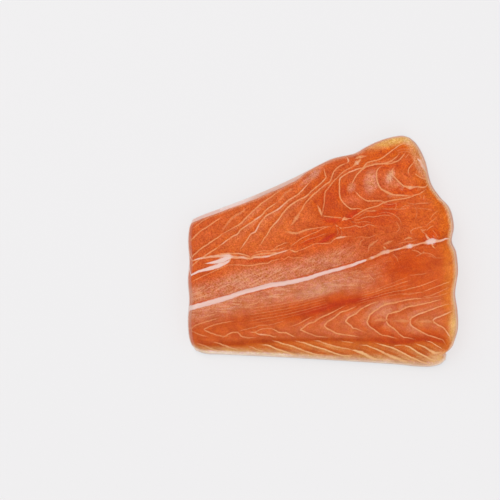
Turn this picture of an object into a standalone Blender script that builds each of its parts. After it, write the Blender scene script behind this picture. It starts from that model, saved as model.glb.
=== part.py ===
"""A raw skin-on salmon fillet, cut from the tail third of a side and lying on its skin.

Two solids, in metres with +Z up and the origin under the middle of the fillet on the surface
that it lies on. +X runs from the narrow tail cut to the wide cut, and +Y from the back edge,
with its strip of pale fat, to the belly edge. "flesh" is the muscle and "skin" the thin layer
under it, which shows all round as a rim.
"""

import math

import bmesh
import bpy
import numpy as np

MM = 0.001

# Outline of the skin seen from above, in millimetres, as four edges that meet at the corners.
TAIL_CUT = [(-59.2, -46.7), (-62.2, -42.0), (-63.2, -33.0), (-62.6, -23.0), (-63.2, -13.5),
            (-62.5, -5.0), (-63.1, 4.0), (-62.5, 10.8), (-60.6, 15.0)]
BACK_EDGE = [(-59.2, -46.7), (-54.0, -48.2), (-44.0, -48.6), (-10.5, -50.3), (31.5, -52.9),
             (43.0, -54.0), (50.2, -54.2), (54.9, -53.1), (57.6, -50.9)]
BELLY_EDGE = [(-60.6, 15.0), (-55.0, 17.4), (-34.0, 25.3), (-15.3, 33.5), (-2.2, 40.2),
              (5.0, 43.5), (14.5, 45.7), (20.0, 48.7), (25.2, 51.2), (31.3, 53.2), (37.0, 54.1),
              (40.8, 53.1)]
WIDE_CUT = [(57.6, -50.9), (58.0, -48.6), (57.8, -47.3), (59.3, -46.0), (61.4, -43.2),
            (63.5, -36.0), (63.3, -28.0), (62.2, -19.6), (63.5, -9.5), (62.7, -0.8),
            (60.6, 4.8), (61.6, 11.7), (59.7, 19.9), (54.9, 25.5), (50.8, 32.0), (48.2, 42.1),
            (44.6, 49.4), (40.8, 53.1)]

# Sizes of the piece, in millimetres.
TAIL_THICKNESS = 10.8
WIDE_THICKNESS = 16.8
SKIN_THICKNESS = 0.8
SKIN_GAP = 0.3
MEAN_LENGTH = 122.0
MEAN_WIDTH = 86.0

# Share of the thickness across the width, from the back edge at 0 to the belly edge at 1.
CROWN = [(0.0, 0.44), (0.12, 0.78), (0.3, 1.0), (0.5, 0.96), (0.68, 0.92), (0.85, 0.66),
         (1.0, 0.4)]

# How the skin turns up along the two long edges: share of the lift by distance from the edge.
CURL_DISTANCES = (0.0, 2.5, 5.0)
CURL_SHARES = (1.0, 0.25, 0.0)
BACK_CURL = 1.2
BELLY_CURL = 0.8

# How far the flesh stays inside the skin's outline, at its foot and at its top edge. Along the
# belly edge of the narrow end it stays further in, so that a pale rim of skin lies bare.
FOOT_INSET = 0.35
CUT_INSET = 1.6
EDGE_INSET = 1.0
BARE_FOOT_INSET = 2.3
BARE_EDGE_INSET = 2.6
BARE_END = 0.45
BARE_FADE = 0.09
WALL_BULGE = 0.5
WALL_ROWS = 3

# Rounding of the top of the flesh: its reach from the edge, and the share or height it drops.
BACK_ROUND, BACK_DROP = 4.0, 0.45
BELLY_ROUND, BELLY_DROP = 3.0, 0.4
CUT_ROUND, CUT_DROP, CUT_DROP_SHARE = 2.6, 2.2, 0.3
RELIEF_FADE = 5.0

# Lines that the relief follows, from the tail to the wide cut.
MIDLINE = [(-64.0, -26.5), (-44.5, -21.5), (-10.5, -13.2), (20.0, -4.2), (40.0, 2.6),
           (52.0, 4.6), (64.0, 5.6)]
FLANK_CREASE = [(-64.0, -44.5), (-44.0, -43.0), (-23.5, -41.4), (20.0, -41.4), (36.0, -42.6),
                (48.0, -41.2), (64.0, -43.5)]
CHEVRON_TIPS = [(-64.0, -40.0), (-39.0, -38.4), (-10.5, -36.7), (10.5, -32.8), (30.0, -31.9),
                (52.0, -32.6), (64.0, -33.0)]
BELLY_VALLEY = [(-64.0, -4.5), (-44.0, -2.6), (-15.0, 2.0), (8.0, 8.6), (30.0, 17.0),
                (46.0, 24.0), (64.0, 30.0)]

# Muscle blocks, which swell a little between the sheets that part them.
BLOCK_SWELL = 0.36
LOWER_PITCH = 10.0
UPPER_PITCH = 6.8
SWIRL_PITCH = 8.4
SWIRL_CENTRE = (44.0, 36.5)
SWIRL_STRETCH = 1.5
SWIRL_REACH = 36.0
UPPER_ARM, LOWER_ARM, ARM_REACH = 11.2, 5.8, 12.4
STRIP_SLOPE = 2.6

# Spacing of the mesh, in millimetres.
EDGE_STEPS = (0.0, 0.5, 1.3, 2.4)
GRID_STEP = 1.95


def smooth_curve(points, places):
    """Points on a Catmull-Rom curve through the given points, at places from 0 to 1 by length."""
    p = np.array([2 * np.array(points[0]) - np.array(points[1]), *points,
                  2 * np.array(points[-1]) - np.array(points[-2])], float)
    fine = []
    for a, b, c, d in zip(p, p[1:], p[2:], p[3:]):
        for u in np.linspace(0, 1, 24, endpoint=False):
            fine.append(0.5 * (2 * b + (c - a) * u + (2 * a - 5 * b + 4 * c - d) * u ** 2
                               + (3 * b - a - 3 * c + d) * u ** 3))
    fine = np.array([*fine, p[-2]])
    run = np.concatenate([[0], np.cumsum(np.hypot(*np.diff(fine, axis=0).T))])
    return np.column_stack([np.interp(np.asarray(places) * run[-1], run, fine[:, i])
                            for i in (0, 1)])


def smooth_value(points, x):
    """Height of the smooth line through the points at x, which may be an array."""
    line = smooth_curve(points, np.linspace(0, 1, 400))
    return np.interp(x, line[:, 0], line[:, 1])


def round_off(distance, reach):
    """A quarter circle: 0 at the edge, 1 at reach from it and beyond."""
    share = np.clip(distance / reach, 0, 1)
    return np.sqrt(np.clip(1 - (1 - share) ** 2, 0, 1))


def plan(s, t):
    """Where the fillet's point (s, t) lies seen from above: s runs from the tail cut to the
    wide cut and t from the back edge to the belly edge, so the four edges are its borders."""
    s, t = np.asarray(s, float)[:, None], np.asarray(t, float)[:, None]
    back, belly = (smooth_curve(e, s[:, 0]) for e in (BACK_EDGE, BELLY_EDGE))
    tail, wide = (smooth_curve(e, t[:, 0]) for e in (TAIL_CUT, WIDE_CUT))
    corners = [np.array(e[i], float) for e in (BACK_EDGE, BELLY_EDGE) for i in (0, -1)]
    flat = ((1 - s) * (1 - t) * corners[0] + s * (1 - t) * corners[1]
            + (1 - s) * t * corners[2] + s * t * corners[3])
    return (1 - t) * back + t * belly + (1 - s) * tail + s * wide - flat


def local_width(s):
    """Width of the fillet at s, in millimetres."""
    back, belly = smooth_curve(BACK_EDGE, s), smooth_curve(BELLY_EDGE, s)
    return np.hypot(*(belly - back).T)


def skin_lift(s, t):
    """How high the underside of the skin is above the table."""
    width = local_width(s)
    back = np.interp(t * width, CURL_DISTANCES, CURL_SHARES)
    belly = np.interp((1 - t) * width, CURL_DISTANCES, CURL_SHARES)
    return BACK_CURL * back + BELLY_CURL * belly


def swell(phase):
    """Rounded top of one muscle block, with a sharp valley wherever the phase is whole."""
    across = 2 * (phase - np.floor(phase)) - 1
    return 1 - np.abs(across) ** 3


def ease(low, high, value):
    """0 below low, 1 above high and smooth between."""
    u = np.clip((value - low) / (high - low), 0, 1)
    return u * u * (3 - 2 * u)


def blocks(x, y):
    """Height of the muscle blocks, from 0 in the valleys between them to 1 on top."""
    crease, tips = smooth_value(FLANK_CREASE, x), smooth_value(CHEVRON_TIPS, x)
    middle, valley = smooth_value(MIDLINE, x), smooth_value(BELLY_VALLEY, x)
    inward = np.clip((y - tips) / ARM_REACH, 0, 0.93)
    outward = np.clip((tips - y) / (tips - crease), 0, 0.93)
    arm = np.where(y > tips, -UPPER_ARM * np.log(1 - inward), -LOWER_ARM * np.log(1 - outward))
    chevrons = swell((x - arm) / LOWER_PITCH)
    strip = swell((x - STRIP_SLOPE * (crease - y)) / LOWER_PITCH)
    rise = np.clip(y - valley, 0, None)
    sweep = swell((x - 0.45 * rise - 0.0171 * rise ** 2) / UPPER_PITCH)
    ring = np.hypot((x - SWIRL_CENTRE[0]) / SWIRL_STRETCH, y - SWIRL_CENTRE[1])
    swirl = swell(ring * SWIRL_STRETCH / SWIRL_PITCH)
    in_swirl = 1 - ease(SWIRL_REACH - 8, SWIRL_REACH, ring * SWIRL_STRETCH)
    upper = sweep * (1 - in_swirl) + swirl * in_swirl
    lower = np.where(y < crease, strip, chevrons)
    fade_lower = 1 - ease(tips + 0.75 * ARM_REACH, tips + ARM_REACH, y)
    fade_upper = ease(valley, valley + 5, y)
    return np.where(y < middle, lower * fade_lower, upper * fade_upper)


def relief(x, y):
    """Rises and hollows of the cut face, in millimetres, on top of its crowned body."""
    off = y - smooth_value(MIDLINE, x)
    groove = -0.7 * np.exp(-(off / 1.3) ** 2)
    ridges = 0.6 * np.exp(-((np.abs(off) - 4.6) / 3.2) ** 2)
    hollow = -0.55 * np.exp(-((off + 12.5) / 3.2) ** 2)
    crease = -0.75 * np.exp(-((y - smooth_value(FLANK_CREASE, x)) / 1.5) ** 2)
    valley = -0.6 * np.exp(-((y - smooth_value(BELLY_VALLEY, x)) / 2.4) ** 2)
    lumps = 0.35 * np.sin(x / 17 + 0.6) * np.cos(y / 14 - 0.4) + 0.2 * np.sin((x + y) / 9)
    return groove + ridges + hollow + crease + valley + lumps + BLOCK_SWELL * blocks(x, y)


def flesh_height(u, v, s, t):
    """Height of the top of the flesh above the table, at places (u, v) of its own top face,
    which are the places (s, t) of the whole outline."""
    x, y = plan(s, t).T
    width = local_width(s)
    crest = TAIL_THICKNESS + (WIDE_THICKNESS - TAIL_THICKNESS) * s
    body = crest * smooth_value(CROWN, t)
    to_back, to_belly = v * width, (1 - v) * width
    to_cut = np.minimum(u, 1 - u) * MEAN_LENGTH
    back = 1 - BACK_DROP * (1 - round_off(to_back, BACK_ROUND))
    belly = 1 - BELLY_DROP * (1 - round_off(to_belly, BELLY_ROUND))
    drop = np.minimum(CUT_DROP, CUT_DROP_SHARE * body) * (1 - round_off(to_cut, CUT_ROUND))
    to_edge = np.minimum(np.minimum(to_back, to_belly), to_cut)
    base = SKIN_THICKNESS + SKIN_GAP + skin_lift(s, t)
    return base + body * back * belly - drop + relief(x, y) * ease(0, RELIEF_FADE, to_edge)


def stations(length):
    """Places from 0 to 1 along a length: close together near both ends, then even."""
    far = [length - d for d in reversed(EDGE_STEPS)]
    count = round((far[0] - EDGE_STEPS[-1]) / GRID_STEP)
    between = np.linspace(EDGE_STEPS[-1], far[0], count + 1)[1:-1]
    return np.array([*EDGE_STEPS, *between, *far]) / length


def border(u_places, v_places):
    """Places round the edge of a grid, counter-clockwise from its first corner."""
    back = [(u, v_places[0]) for u in u_places[:-1]]
    wide = [(u_places[-1], v) for v in v_places[:-1]]
    belly = [(u, v_places[-1]) for u in u_places[:0:-1]]
    tail = [(u_places[0], v) for v in v_places[:0:-1]]
    return np.array(back + wide + belly + tail)


def drawn_in(places, cut, back, belly):
    """The places (u, v) of the whole outline, drawn in by insets in millimetres from the cuts,
    the back edge and the belly edge. The last one may be a function of s."""
    s = (cut + places[:, 0] * (MEAN_LENGTH - 2 * cut)) / MEAN_LENGTH
    width = local_width(s)
    belly = belly(s) if callable(belly) else belly
    return s, (back + places[:, 1] * (width - back - belly)) / width


def bare_rim(edge, bare):
    """An inset from the belly edge that is wider where the rim of skin lies bare."""
    return lambda s: bare + (edge - bare) * ease(BARE_END, BARE_END + BARE_FADE, s)


def add_ring(bm, xy, z):
    """A row of vertices at points in millimetres."""
    return [bm.verts.new((x * MM, y * MM, height * MM)) for (x, y), height in zip(xy, z)]


def join_rings(bm, first, second):
    """Quads between two closed rows of the same length, facing out if the first is below."""
    for i, low in enumerate(first):
        j = (i + 1) % len(first)
        bm.faces.new((low, first[j], second[j], second[i]))


def sheet_rings(bm, places, height, distances):
    """Closed rows at each distance from the outline, on the curled surface of the skin."""
    rings = []
    for distance in distances:
        s, t = drawn_in(places, distance, distance, distance)
        rings.append(add_ring(bm, plan(s, t), height + skin_lift(s, t)))
    return rings


def flesh_top(bm):
    """The cut face as a grid with its relief. Returns its edge and the edge's places."""
    u_places, v_places = stations(MEAN_LENGTH), stations(MEAN_WIDTH)
    columns, rows = len(u_places), len(v_places)
    bmesh.ops.create_grid(bm, x_segments=columns - 1, y_segments=rows - 1, size=1)
    vertices = sorted(bm.verts, key=lambda v: (round(v.co.x, 4), round(v.co.y, 4)))
    u, v = (a.ravel() for a in np.meshgrid(u_places, v_places, indexing="ij"))
    belly = bare_rim(EDGE_INSET, BARE_EDGE_INSET)
    s, t = drawn_in(np.column_stack([u, v]), CUT_INSET, EDGE_INSET, belly)
    for vertex, (x, y), z in zip(vertices, plan(s, t), flesh_height(u, v, s, t)):
        vertex.co = (x * MM, y * MM, z * MM)
    order = border(range(columns), range(rows))
    return [vertices[i * rows + j] for i, j in order], border(u_places, v_places)


def flesh_wall(bm, top, places):
    """The sides from the top edge down to the foot, bulging a little. Returns the foot."""
    s, t = drawn_in(places, FOOT_INSET, FOOT_INSET, bare_rim(FOOT_INSET, BARE_FOOT_INSET))
    foot_xy, foot_z = plan(s, t), SKIN_THICKNESS + SKIN_GAP + skin_lift(s, t)
    top_at = np.array([v.co for v in top]) / MM
    outward = foot_xy - foot_xy.mean(0)
    outward /= np.hypot(*outward.T)[:, None]
    tall = (top_at[:, 2] - foot_z) / WIDE_THICKNESS
    above = top
    for row in range(1, WALL_ROWS + 1):
        down = row / WALL_ROWS
        bulge = WALL_BULGE * math.sin(math.pi * down) * tall
        xy = top_at[:, :2] * (1 - down) + foot_xy * down + outward * bulge[:, None]
        ring = add_ring(bm, xy, top_at[:, 2] * (1 - down) + foot_z * down)
        join_rings(bm, ring, above)
        above = ring
    return above


def make_material(name, colour, roughness):
    """A plain finish with one colour, given as linear red, green and blue."""
    material = bpy.data.materials.new(name)
    material.use_nodes = True
    shader = material.node_tree.nodes["Principled BSDF"]
    shader.inputs["Base Color"].default_value = (*colour, 1)
    shader.inputs["Roughness"].default_value = roughness
    shader.inputs["Metallic"].default_value = 0.0
    return material


def finish_node(bm, name, material, sharp_degrees):
    """Makes the mesh an object of its own, shaded smooth up to the given angle."""
    mesh = bpy.data.meshes.new(name)
    bmesh.ops.recalc_face_normals(bm, faces=bm.faces)
    bm.to_mesh(mesh)
    bm.free()
    mesh.shade_smooth()
    mesh.set_sharp_from_angle(angle=math.radians(sharp_degrees))
    mesh.materials.append(material)
    node = bpy.data.objects.new(name, mesh)
    bpy.context.scene.collection.objects.link(node)
    return node


def build_flesh():
    """The muscle: relief on top, wavy cut faces at both ends and a foot that fits the skin."""
    bm = bmesh.new()
    top, places = flesh_top(bm)
    foot = flesh_wall(bm, top, places)
    base = SKIN_THICKNESS + SKIN_GAP
    rings = [foot, *sheet_rings(bm, places, base, CURL_DISTANCES[1:])]
    for outer, inner in zip(rings, rings[1:]):
        join_rings(bm, inner, outer)
    bm.faces.new(rings[-1])
    return finish_node(bm, "flesh", make_material("salmon flesh", (0.62, 0.12, 0.03), 0.42), 50)


def build_skin():
    """The skin: a thin sheet, flat where it lies and turned up along the two long edges."""
    bm = bmesh.new()
    places = border(stations(MEAN_LENGTH), stations(MEAN_WIDTH))
    under = sheet_rings(bm, places, 0.0, reversed(CURL_DISTANCES))
    over = sheet_rings(bm, places, SKIN_THICKNESS, CURL_DISTANCES)
    rings = under + over
    for first, second in zip(rings, rings[1:]):
        join_rings(bm, first, second)
    bm.faces.new(rings[0])
    bm.faces.new(rings[-1])
    return finish_node(bm, "skin", make_material("salmon skin", (0.42, 0.42, 0.43), 0.35), 40)


def centre_on_origin(nodes):
    """Moves the fillet so that its box stands with its middle over the origin."""
    points = np.array([v.co for node in nodes for v in node.data.vertices])
    low, high = points.min(0), points.max(0)
    shift = np.array([*(low[:2] + high[:2]) / 2, low[2]])
    for node in nodes:
        for vertex in node.data.vertices:
            vertex.co = np.array(vertex.co) - shift


def main():
    """Builds the two solids of the fillet in an empty scene."""
    for old in list(bpy.data.objects):
        bpy.data.objects.remove(old)
    centre_on_origin([build_flesh(), build_skin()])


main()
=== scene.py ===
"""Looks of a raw skin-on salmon fillet that lies flesh up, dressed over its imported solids.

The cut face is a fine mesh with the crown, grooves and muscle blocks of the solid. The white
sheets of fat that part the muscle blocks are drawn as strands: curves whose distance is stored
on the mesh, so that the material can draw them as thin lines at any size. Lengths are in
millimetres until a mesh is made. Places on the cut face are pixels of the 500 x 500 photograph,
which shows the fillet from straight above.
"""

import logging
import math
from dataclasses import dataclass, field
from enum import Enum
from typing import ClassVar, Sequence

import bpy
import numpy as np
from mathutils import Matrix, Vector, noise


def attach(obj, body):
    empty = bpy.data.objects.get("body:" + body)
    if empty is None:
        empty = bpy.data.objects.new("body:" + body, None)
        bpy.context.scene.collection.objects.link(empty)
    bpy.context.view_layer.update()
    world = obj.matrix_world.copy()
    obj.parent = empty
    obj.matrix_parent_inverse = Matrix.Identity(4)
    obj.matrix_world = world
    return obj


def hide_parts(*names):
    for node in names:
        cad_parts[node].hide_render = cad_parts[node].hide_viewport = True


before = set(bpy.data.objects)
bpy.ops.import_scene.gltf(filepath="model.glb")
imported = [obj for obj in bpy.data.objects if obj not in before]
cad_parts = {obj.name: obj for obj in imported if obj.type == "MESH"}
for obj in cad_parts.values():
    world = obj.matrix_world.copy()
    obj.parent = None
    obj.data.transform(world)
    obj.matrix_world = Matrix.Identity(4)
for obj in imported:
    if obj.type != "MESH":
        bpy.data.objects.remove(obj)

LOG = logging.getLogger("fillet")
MM = 0.001

Array = np.ndarray
Point = tuple[float, float]
Points = Sequence[Point]
Triple = tuple[float, float, float]
Colour = tuple[int, int, int]


def linear(colour: Colour) -> Array:
    """The light of a colour that a screen shows with this red, green and blue, 0 to 255."""
    shown = np.array(colour) / 255
    return np.where(shown <= 0.04045, shown / 12.92, ((shown + 0.055) / 1.055) ** 2.4)


def ease(low: Array | float, high: Array | float, value: Array) -> Array:
    """0 below low, 1 above high and smooth between."""
    share = np.clip((value - low) / (high - low), 0, 1)
    return share * share * (3 - 2 * share)


def bell(distance: Array, reach: Array | float) -> Array:
    """1 at distance 0, falling off on both sides within about twice the reach."""
    return np.exp(-(distance / reach) ** 2)


def round_off(distance: Array, reach: float) -> Array:
    """A quarter circle: 0 at the edge, 1 at reach from it and beyond."""
    share = np.clip(distance / reach, 0, 1)
    return np.sqrt(np.clip(1 - (1 - share) ** 2, 0, 1))


def rounded(distance: Array, loss: float, reach: float) -> Array:
    """1 at reach from an edge and beyond, rounded down by the given loss at the edge."""
    return 1 - loss * (1 - round_off(distance, reach))


def unit(vectors: Array) -> Array:
    """Rows of two numbers as directions of length 1."""
    return vectors / np.hypot(*vectors.T)[:, None]


def gaps(places: Array, others: Array) -> Array:
    """The distance of every place, in rows, from every other one, in columns."""
    return np.hypot(*(places[:, None] - others[None]).transpose(2, 0, 1))


def grid(*axes: Array) -> Array:
    """One row of two coordinates for each pair of numbers from the two axes."""
    return np.stack(np.meshgrid(*axes, indexing="ij"), -1).reshape(-1, 2)


def blend(raster: Array, at: Array) -> Array:
    """Reads a raster between its cells, at places given by row and column."""
    (i, j), (down, along) = at.astype(int).T, (at % 1).T
    near = raster[i, j] * (1 - along) + raster[i, j + 1] * along
    far = raster[i + 1, j] * (1 - along) + raster[i + 1, j + 1] * along
    return near * (1 - down) + far * down


def smooth_curve(points: Points, places: Array) -> Array:
    """Runs a smooth curve through points.

    Args:
        points: The points that the curve passes, in order.
        places: Where it is read, from 0 at its start to 1 at its end, by length.

    Returns:
        One row of two coordinates for each place.
    """
    given = np.array(points, float)
    whole = np.vstack([2 * given[0] - given[1], given, 2 * given[-1] - given[-2]])
    u = np.linspace(0, 1, 24, endpoint=False)[:, None]
    runs = [0.5 * (2 * b + (c - a) * u + (2 * a - 5 * b + 4 * c - d) * u ** 2
                   + (3 * b - a - 3 * c + d) * u ** 3)
            for a, b, c, d in zip(whole, whole[1:], whole[2:], whole[3:])]
    fine = np.vstack([*runs, given[-1:]])
    length = np.concatenate([[0], np.cumsum(np.hypot(*np.diff(fine, axis=0).T))])
    at = np.asarray(places) * length[-1]
    return np.column_stack([np.interp(at, length, fine[:, i]) for i in (0, 1)])


def smooth_value(points: Points, x: Array) -> Array:
    """Height of the smooth line through points, at each x."""
    line = smooth_curve(points, np.linspace(0, 1, 400))
    return np.interp(x, line[:, 0], line[:, 1])


def wobble(points: Array, scale: float, seed: float) -> Array:
    """Even noise from -1 to 1 at places in millimetres, in lumps of about the given size."""
    return np.array([noise.noise(Vector((x / scale, y / scale, seed))) for x, y in points])


@dataclass(frozen=True)
class PhotoScale:
    """The photograph's pixels as places on the fillet."""

    mm_per_pixel: float = 0.4675
    origin: Point = (322.4, 250.9)
    middle: Point = (249.75, 249.9)
    frame_pixels: float = 500.0

    def to_mm(self, points: Points) -> Array:
        """Places in millimetres of the given pixels, with +Y up the photograph."""
        pixels = np.array(points, float).reshape(-1, 2)
        return (pixels - self.origin) * (self.mm_per_pixel, -self.mm_per_pixel)


PHOTO = PhotoScale()


@dataclass(frozen=True)
class Form:
    """The shape of the whole fillet, as the solids have it: its outline and its thickness."""

    tail_cut: Points = ((-59.2, -46.7), (-62.2, -42.0), (-63.2, -33.0), (-62.6, -23.0),
                        (-63.2, -13.5), (-62.5, -5.0), (-63.1, 4.0), (-62.5, 10.8),
                        (-60.6, 15.0))
    back_edge: Points = ((-59.2, -46.7), (-54.0, -48.2), (-44.0, -48.6), (-10.5, -50.3),
                         (31.5, -52.9), (43.0, -54.0), (50.2, -54.2), (54.9, -53.1),
                         (57.6, -50.9))
    belly_edge: Points = ((-60.6, 15.0), (-55.0, 17.4), (-34.0, 25.3), (-15.3, 33.5),
                          (-2.2, 40.2), (5.0, 43.5), (14.5, 45.7), (20.0, 48.7), (25.2, 51.2),
                          (31.3, 53.2), (37.0, 54.1), (40.8, 53.1))
    wide_cut: Points = ((57.6, -50.9), (58.0, -48.6), (57.8, -47.3), (59.3, -46.0),
                        (61.4, -43.2), (63.5, -36.0), (63.3, -28.0), (62.2, -19.6),
                        (63.5, -9.5), (62.7, -0.8), (60.6, 4.8), (61.6, 11.7),
                        (59.7, 19.9), (54.9, 25.5), (50.8, 32.0), (48.2, 42.1),
                        (44.6, 49.4), (40.8, 53.1))
    midline: Points = ((-64.0, -26.5), (-44.5, -21.5), (-10.5, -13.2), (20.0, -4.2),
                       (40.0, 2.6), (52.0, 4.6), (64.0, 5.6))
    crease: Points = ((-64.0, -44.5), (-44.0, -43.0), (-23.5, -41.4), (20.0, -41.4),
                      (36.0, -42.6), (48.0, -41.2), (64.0, -43.5))
    belly_valley: Points = ((-64.0, -4.5), (-44.0, -2.6), (-15.0, 2.0), (8.0, 8.6),
                            (30.0, 17.0), (46.0, 24.0), (64.0, 30.0))
    # Where painted shade lies, on the slope below the midline.
    dark_band: Points = ((-64.0, -35.0), (-44.0, -33.2), (-10.5, -29.0), (1.2, -26.7),
                         (10.6, -23.9), (19.9, -22.5), (33.9, -19.2), (64.0, -14.5))
    crown: Points = ((0.0, 0.44), (0.12, 0.78), (0.3, 1.0), (0.5, 0.96), (0.68, 0.92),
                     (0.85, 0.66), (1.0, 0.4))
    length: float = 122.0
    tail_thickness: float = 10.8
    wide_thickness: float = 16.6
    skin_thickness: float = 0.8
    skin_gap: float = 0.3
    back_curl: float = 1.2
    belly_curl: float = 0.8
    curl_distances: Sequence[float] = (0.0, 2.5, 5.0)
    curl_shares: Sequence[float] = (1.0, 0.25, 0.0)

    def plan(self, s: Array, t: Array) -> Array:
        """Finds places on the fillet, seen from above.

        Args:
            s: From 0 at the tail cut to 1 at the wide cut, and straight on beyond them.
            t: From 0 at the back edge to 1 at the belly edge.

        Returns:
            One row of x and y, in millimetres, for each place.
        """
        inside = np.clip(s, 0, 1)
        back, belly = (smooth_curve(e, inside) for e in (self.back_edge, self.belly_edge))
        tail, wide = (smooth_curve(e, t) for e in (self.tail_cut, self.wide_cut))
        beyond = (s - inside)[:, None] * (self.length, 0)
        s, t = inside[:, None], t[:, None]
        flat = ((1 - s) * (1 - t) * self.back_edge[0] + s * (1 - t) * self.back_edge[-1]
                + (1 - s) * t * self.belly_edge[0] + s * t * self.belly_edge[-1])
        return (1 - t) * back + t * belly + (1 - s) * tail + s * wide - flat + beyond

    def width(self, s: Array) -> Array:
        """Width of the fillet at s."""
        return np.hypot(*(smooth_curve(self.belly_edge, s) - smooth_curve(self.back_edge, s)).T)

    def drawn_in(self, u: Array, v: Array, cut: Array | float, back: Array | float,
                 belly: Array | float) -> tuple[Array, Array]:
        """Draws places of the whole outline in from its edges.

        Args:
            u: From 0 at the tail cut to 1 at the wide cut.
            v: From 0 at the back edge to 1 at the belly edge.
            cut: How far they move in from both cuts.
            back: How far they move in from the back edge.
            belly: How far they move in from the belly edge.

        Returns:
            The places s and t after the move.
        """
        s = (cut + u * (self.length - 2 * cut)) / self.length
        width = self.width(s)
        return s, (back + v * (width - back - belly)) / width

    def lift(self, s: Array, t: Array) -> Array:
        """How high the underside of the skin is above the table."""
        width = self.width(s)
        back = np.interp(t * width, self.curl_distances, self.curl_shares)
        belly = np.interp((1 - t) * width, self.curl_distances, self.curl_shares)
        return self.back_curl * back + self.belly_curl * belly

    def body(self, s: Array, t: Array) -> Array:
        """Thickness of the flesh before its edges are rounded."""
        crest = self.tail_thickness + (self.wide_thickness - self.tail_thickness) * s
        return crest * smooth_value(self.crown, t)

    def relief(self, x: Array, y: Array) -> Array:
        """Rises and hollows of the cut face on top of its crowned body."""
        off = y - smooth_value(self.midline, x)
        groove = -0.7 * bell(off, 1.3)
        ridges = 0.6 * bell(np.abs(off) - 4.6, 3.2)
        hollow = -0.55 * bell(off + 12.5, 3.2)
        crease = -0.75 * bell(y - smooth_value(self.crease, x), 1.5)
        valley = -0.6 * bell(y - smooth_value(self.belly_valley, x), 2.4)
        lumps = 0.35 * np.sin(x / 17 + 0.6) * np.cos(y / 14 - 0.4) + 0.2 * np.sin((x + y) / 9)
        return groove + ridges + hollow + crease + valley + lumps


FORM = Form()


@dataclass(frozen=True)
class Strand:
    """One white sheet of fat where it meets the cut face, seen as a line.

    Attributes:
        fat: How white it is, from 0 to 1, and above 1 where it is white right across.
        widths: Half its width, at even steps from its start to its end.
        pixels: The points of the photograph that it passes.
        glow: How far the flesh pales on the left of its middle and is darkened by painted
        shade on the right, or the other way round where below 0.
    """

    fat: float
    widths: Sequence[float]
    pixels: Points
    glow: float = 0.0
    shake_lump: ClassVar[float] = 1.9
    patch_lump: ClassVar[float] = 4.0

    def samples(self, spacing: float, shake: float, seed: float) -> Array:
        """Reads the strand at even steps, with the small shakes of a real one.

        Args:
            spacing: Distance between samples.
            shake: How far it strays from its smooth curve.
            seed: Makes one strand's shakes differ from the next one's.

        Returns:
            Rows of x, y, the direction's x and y, half width, whiteness and glow.
        """
        points = PHOTO.to_mm(self.pixels)
        length = np.hypot(*np.diff(points, axis=0).T).sum()
        share = np.linspace(0, 1, max(int(length / spacing), 6))
        path = smooth_curve(points, share)
        strays = [wobble(path, self.shake_lump, seed + axis) for axis in (0, 40)]
        path += shake * np.column_stack(strays)
        ahead = unit(np.gradient(path, axis=0))
        half = np.interp(share, np.linspace(0, 1, len(self.widths)), self.widths)
        taper = ease(0, min(0.1 * length, 2.5), np.minimum(share, 1 - share) * length)
        patchy = 1 + 0.3 * wobble(path, self.patch_lump, seed + 80)
        fat = self.fat * patchy * (0.35 + 0.65 * taper) * (1 + 0.6 * ease(0.7, 1.5, half))
        return np.column_stack([path, ahead, half, fat, self.glow * bell(share - 0.5, 0.3)])


def thin(fat: float, *pixels: Point) -> Strand:
    """A hair-thin strand of even width."""
    return Strand(fat, (0.24, 0.28, 0.24), pixels)


def plain(fat: float, *pixels: Point) -> Strand:
    """A strand of ordinary width that thins out towards its ends."""
    return Strand(fat, (0.26, 0.36, 0.38, 0.36, 0.26), pixels)


def flake(fat: float, glow: float, *pixels: Point) -> Strand:
    """The edge of a flake: a strand with paler flesh on one side of its middle and painted shade on
    the other.
    """
    return Strand(fat, (0.26, 0.38, 0.4, 0.38, 0.26), pixels, glow)


def node(fat: float, half: float, *pixels: Point) -> Strand:
    """A short thick spot of fat, pointed at both ends."""
    return Strand(fat, (0.15, half, 0.15), pixels)


def fan(fat: float, count: int, first: Points, last: Points) -> tuple[Strand, ...]:
    """Thin strands side by side, from one place to another that is given by as many points."""
    low, step = np.array(first), np.subtract(last, first) / (count - 1)
    return tuple(thin(fat * (0.7 + 0.6 * (i % 2)), *(low + i * step)) for i in range(count))


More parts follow.
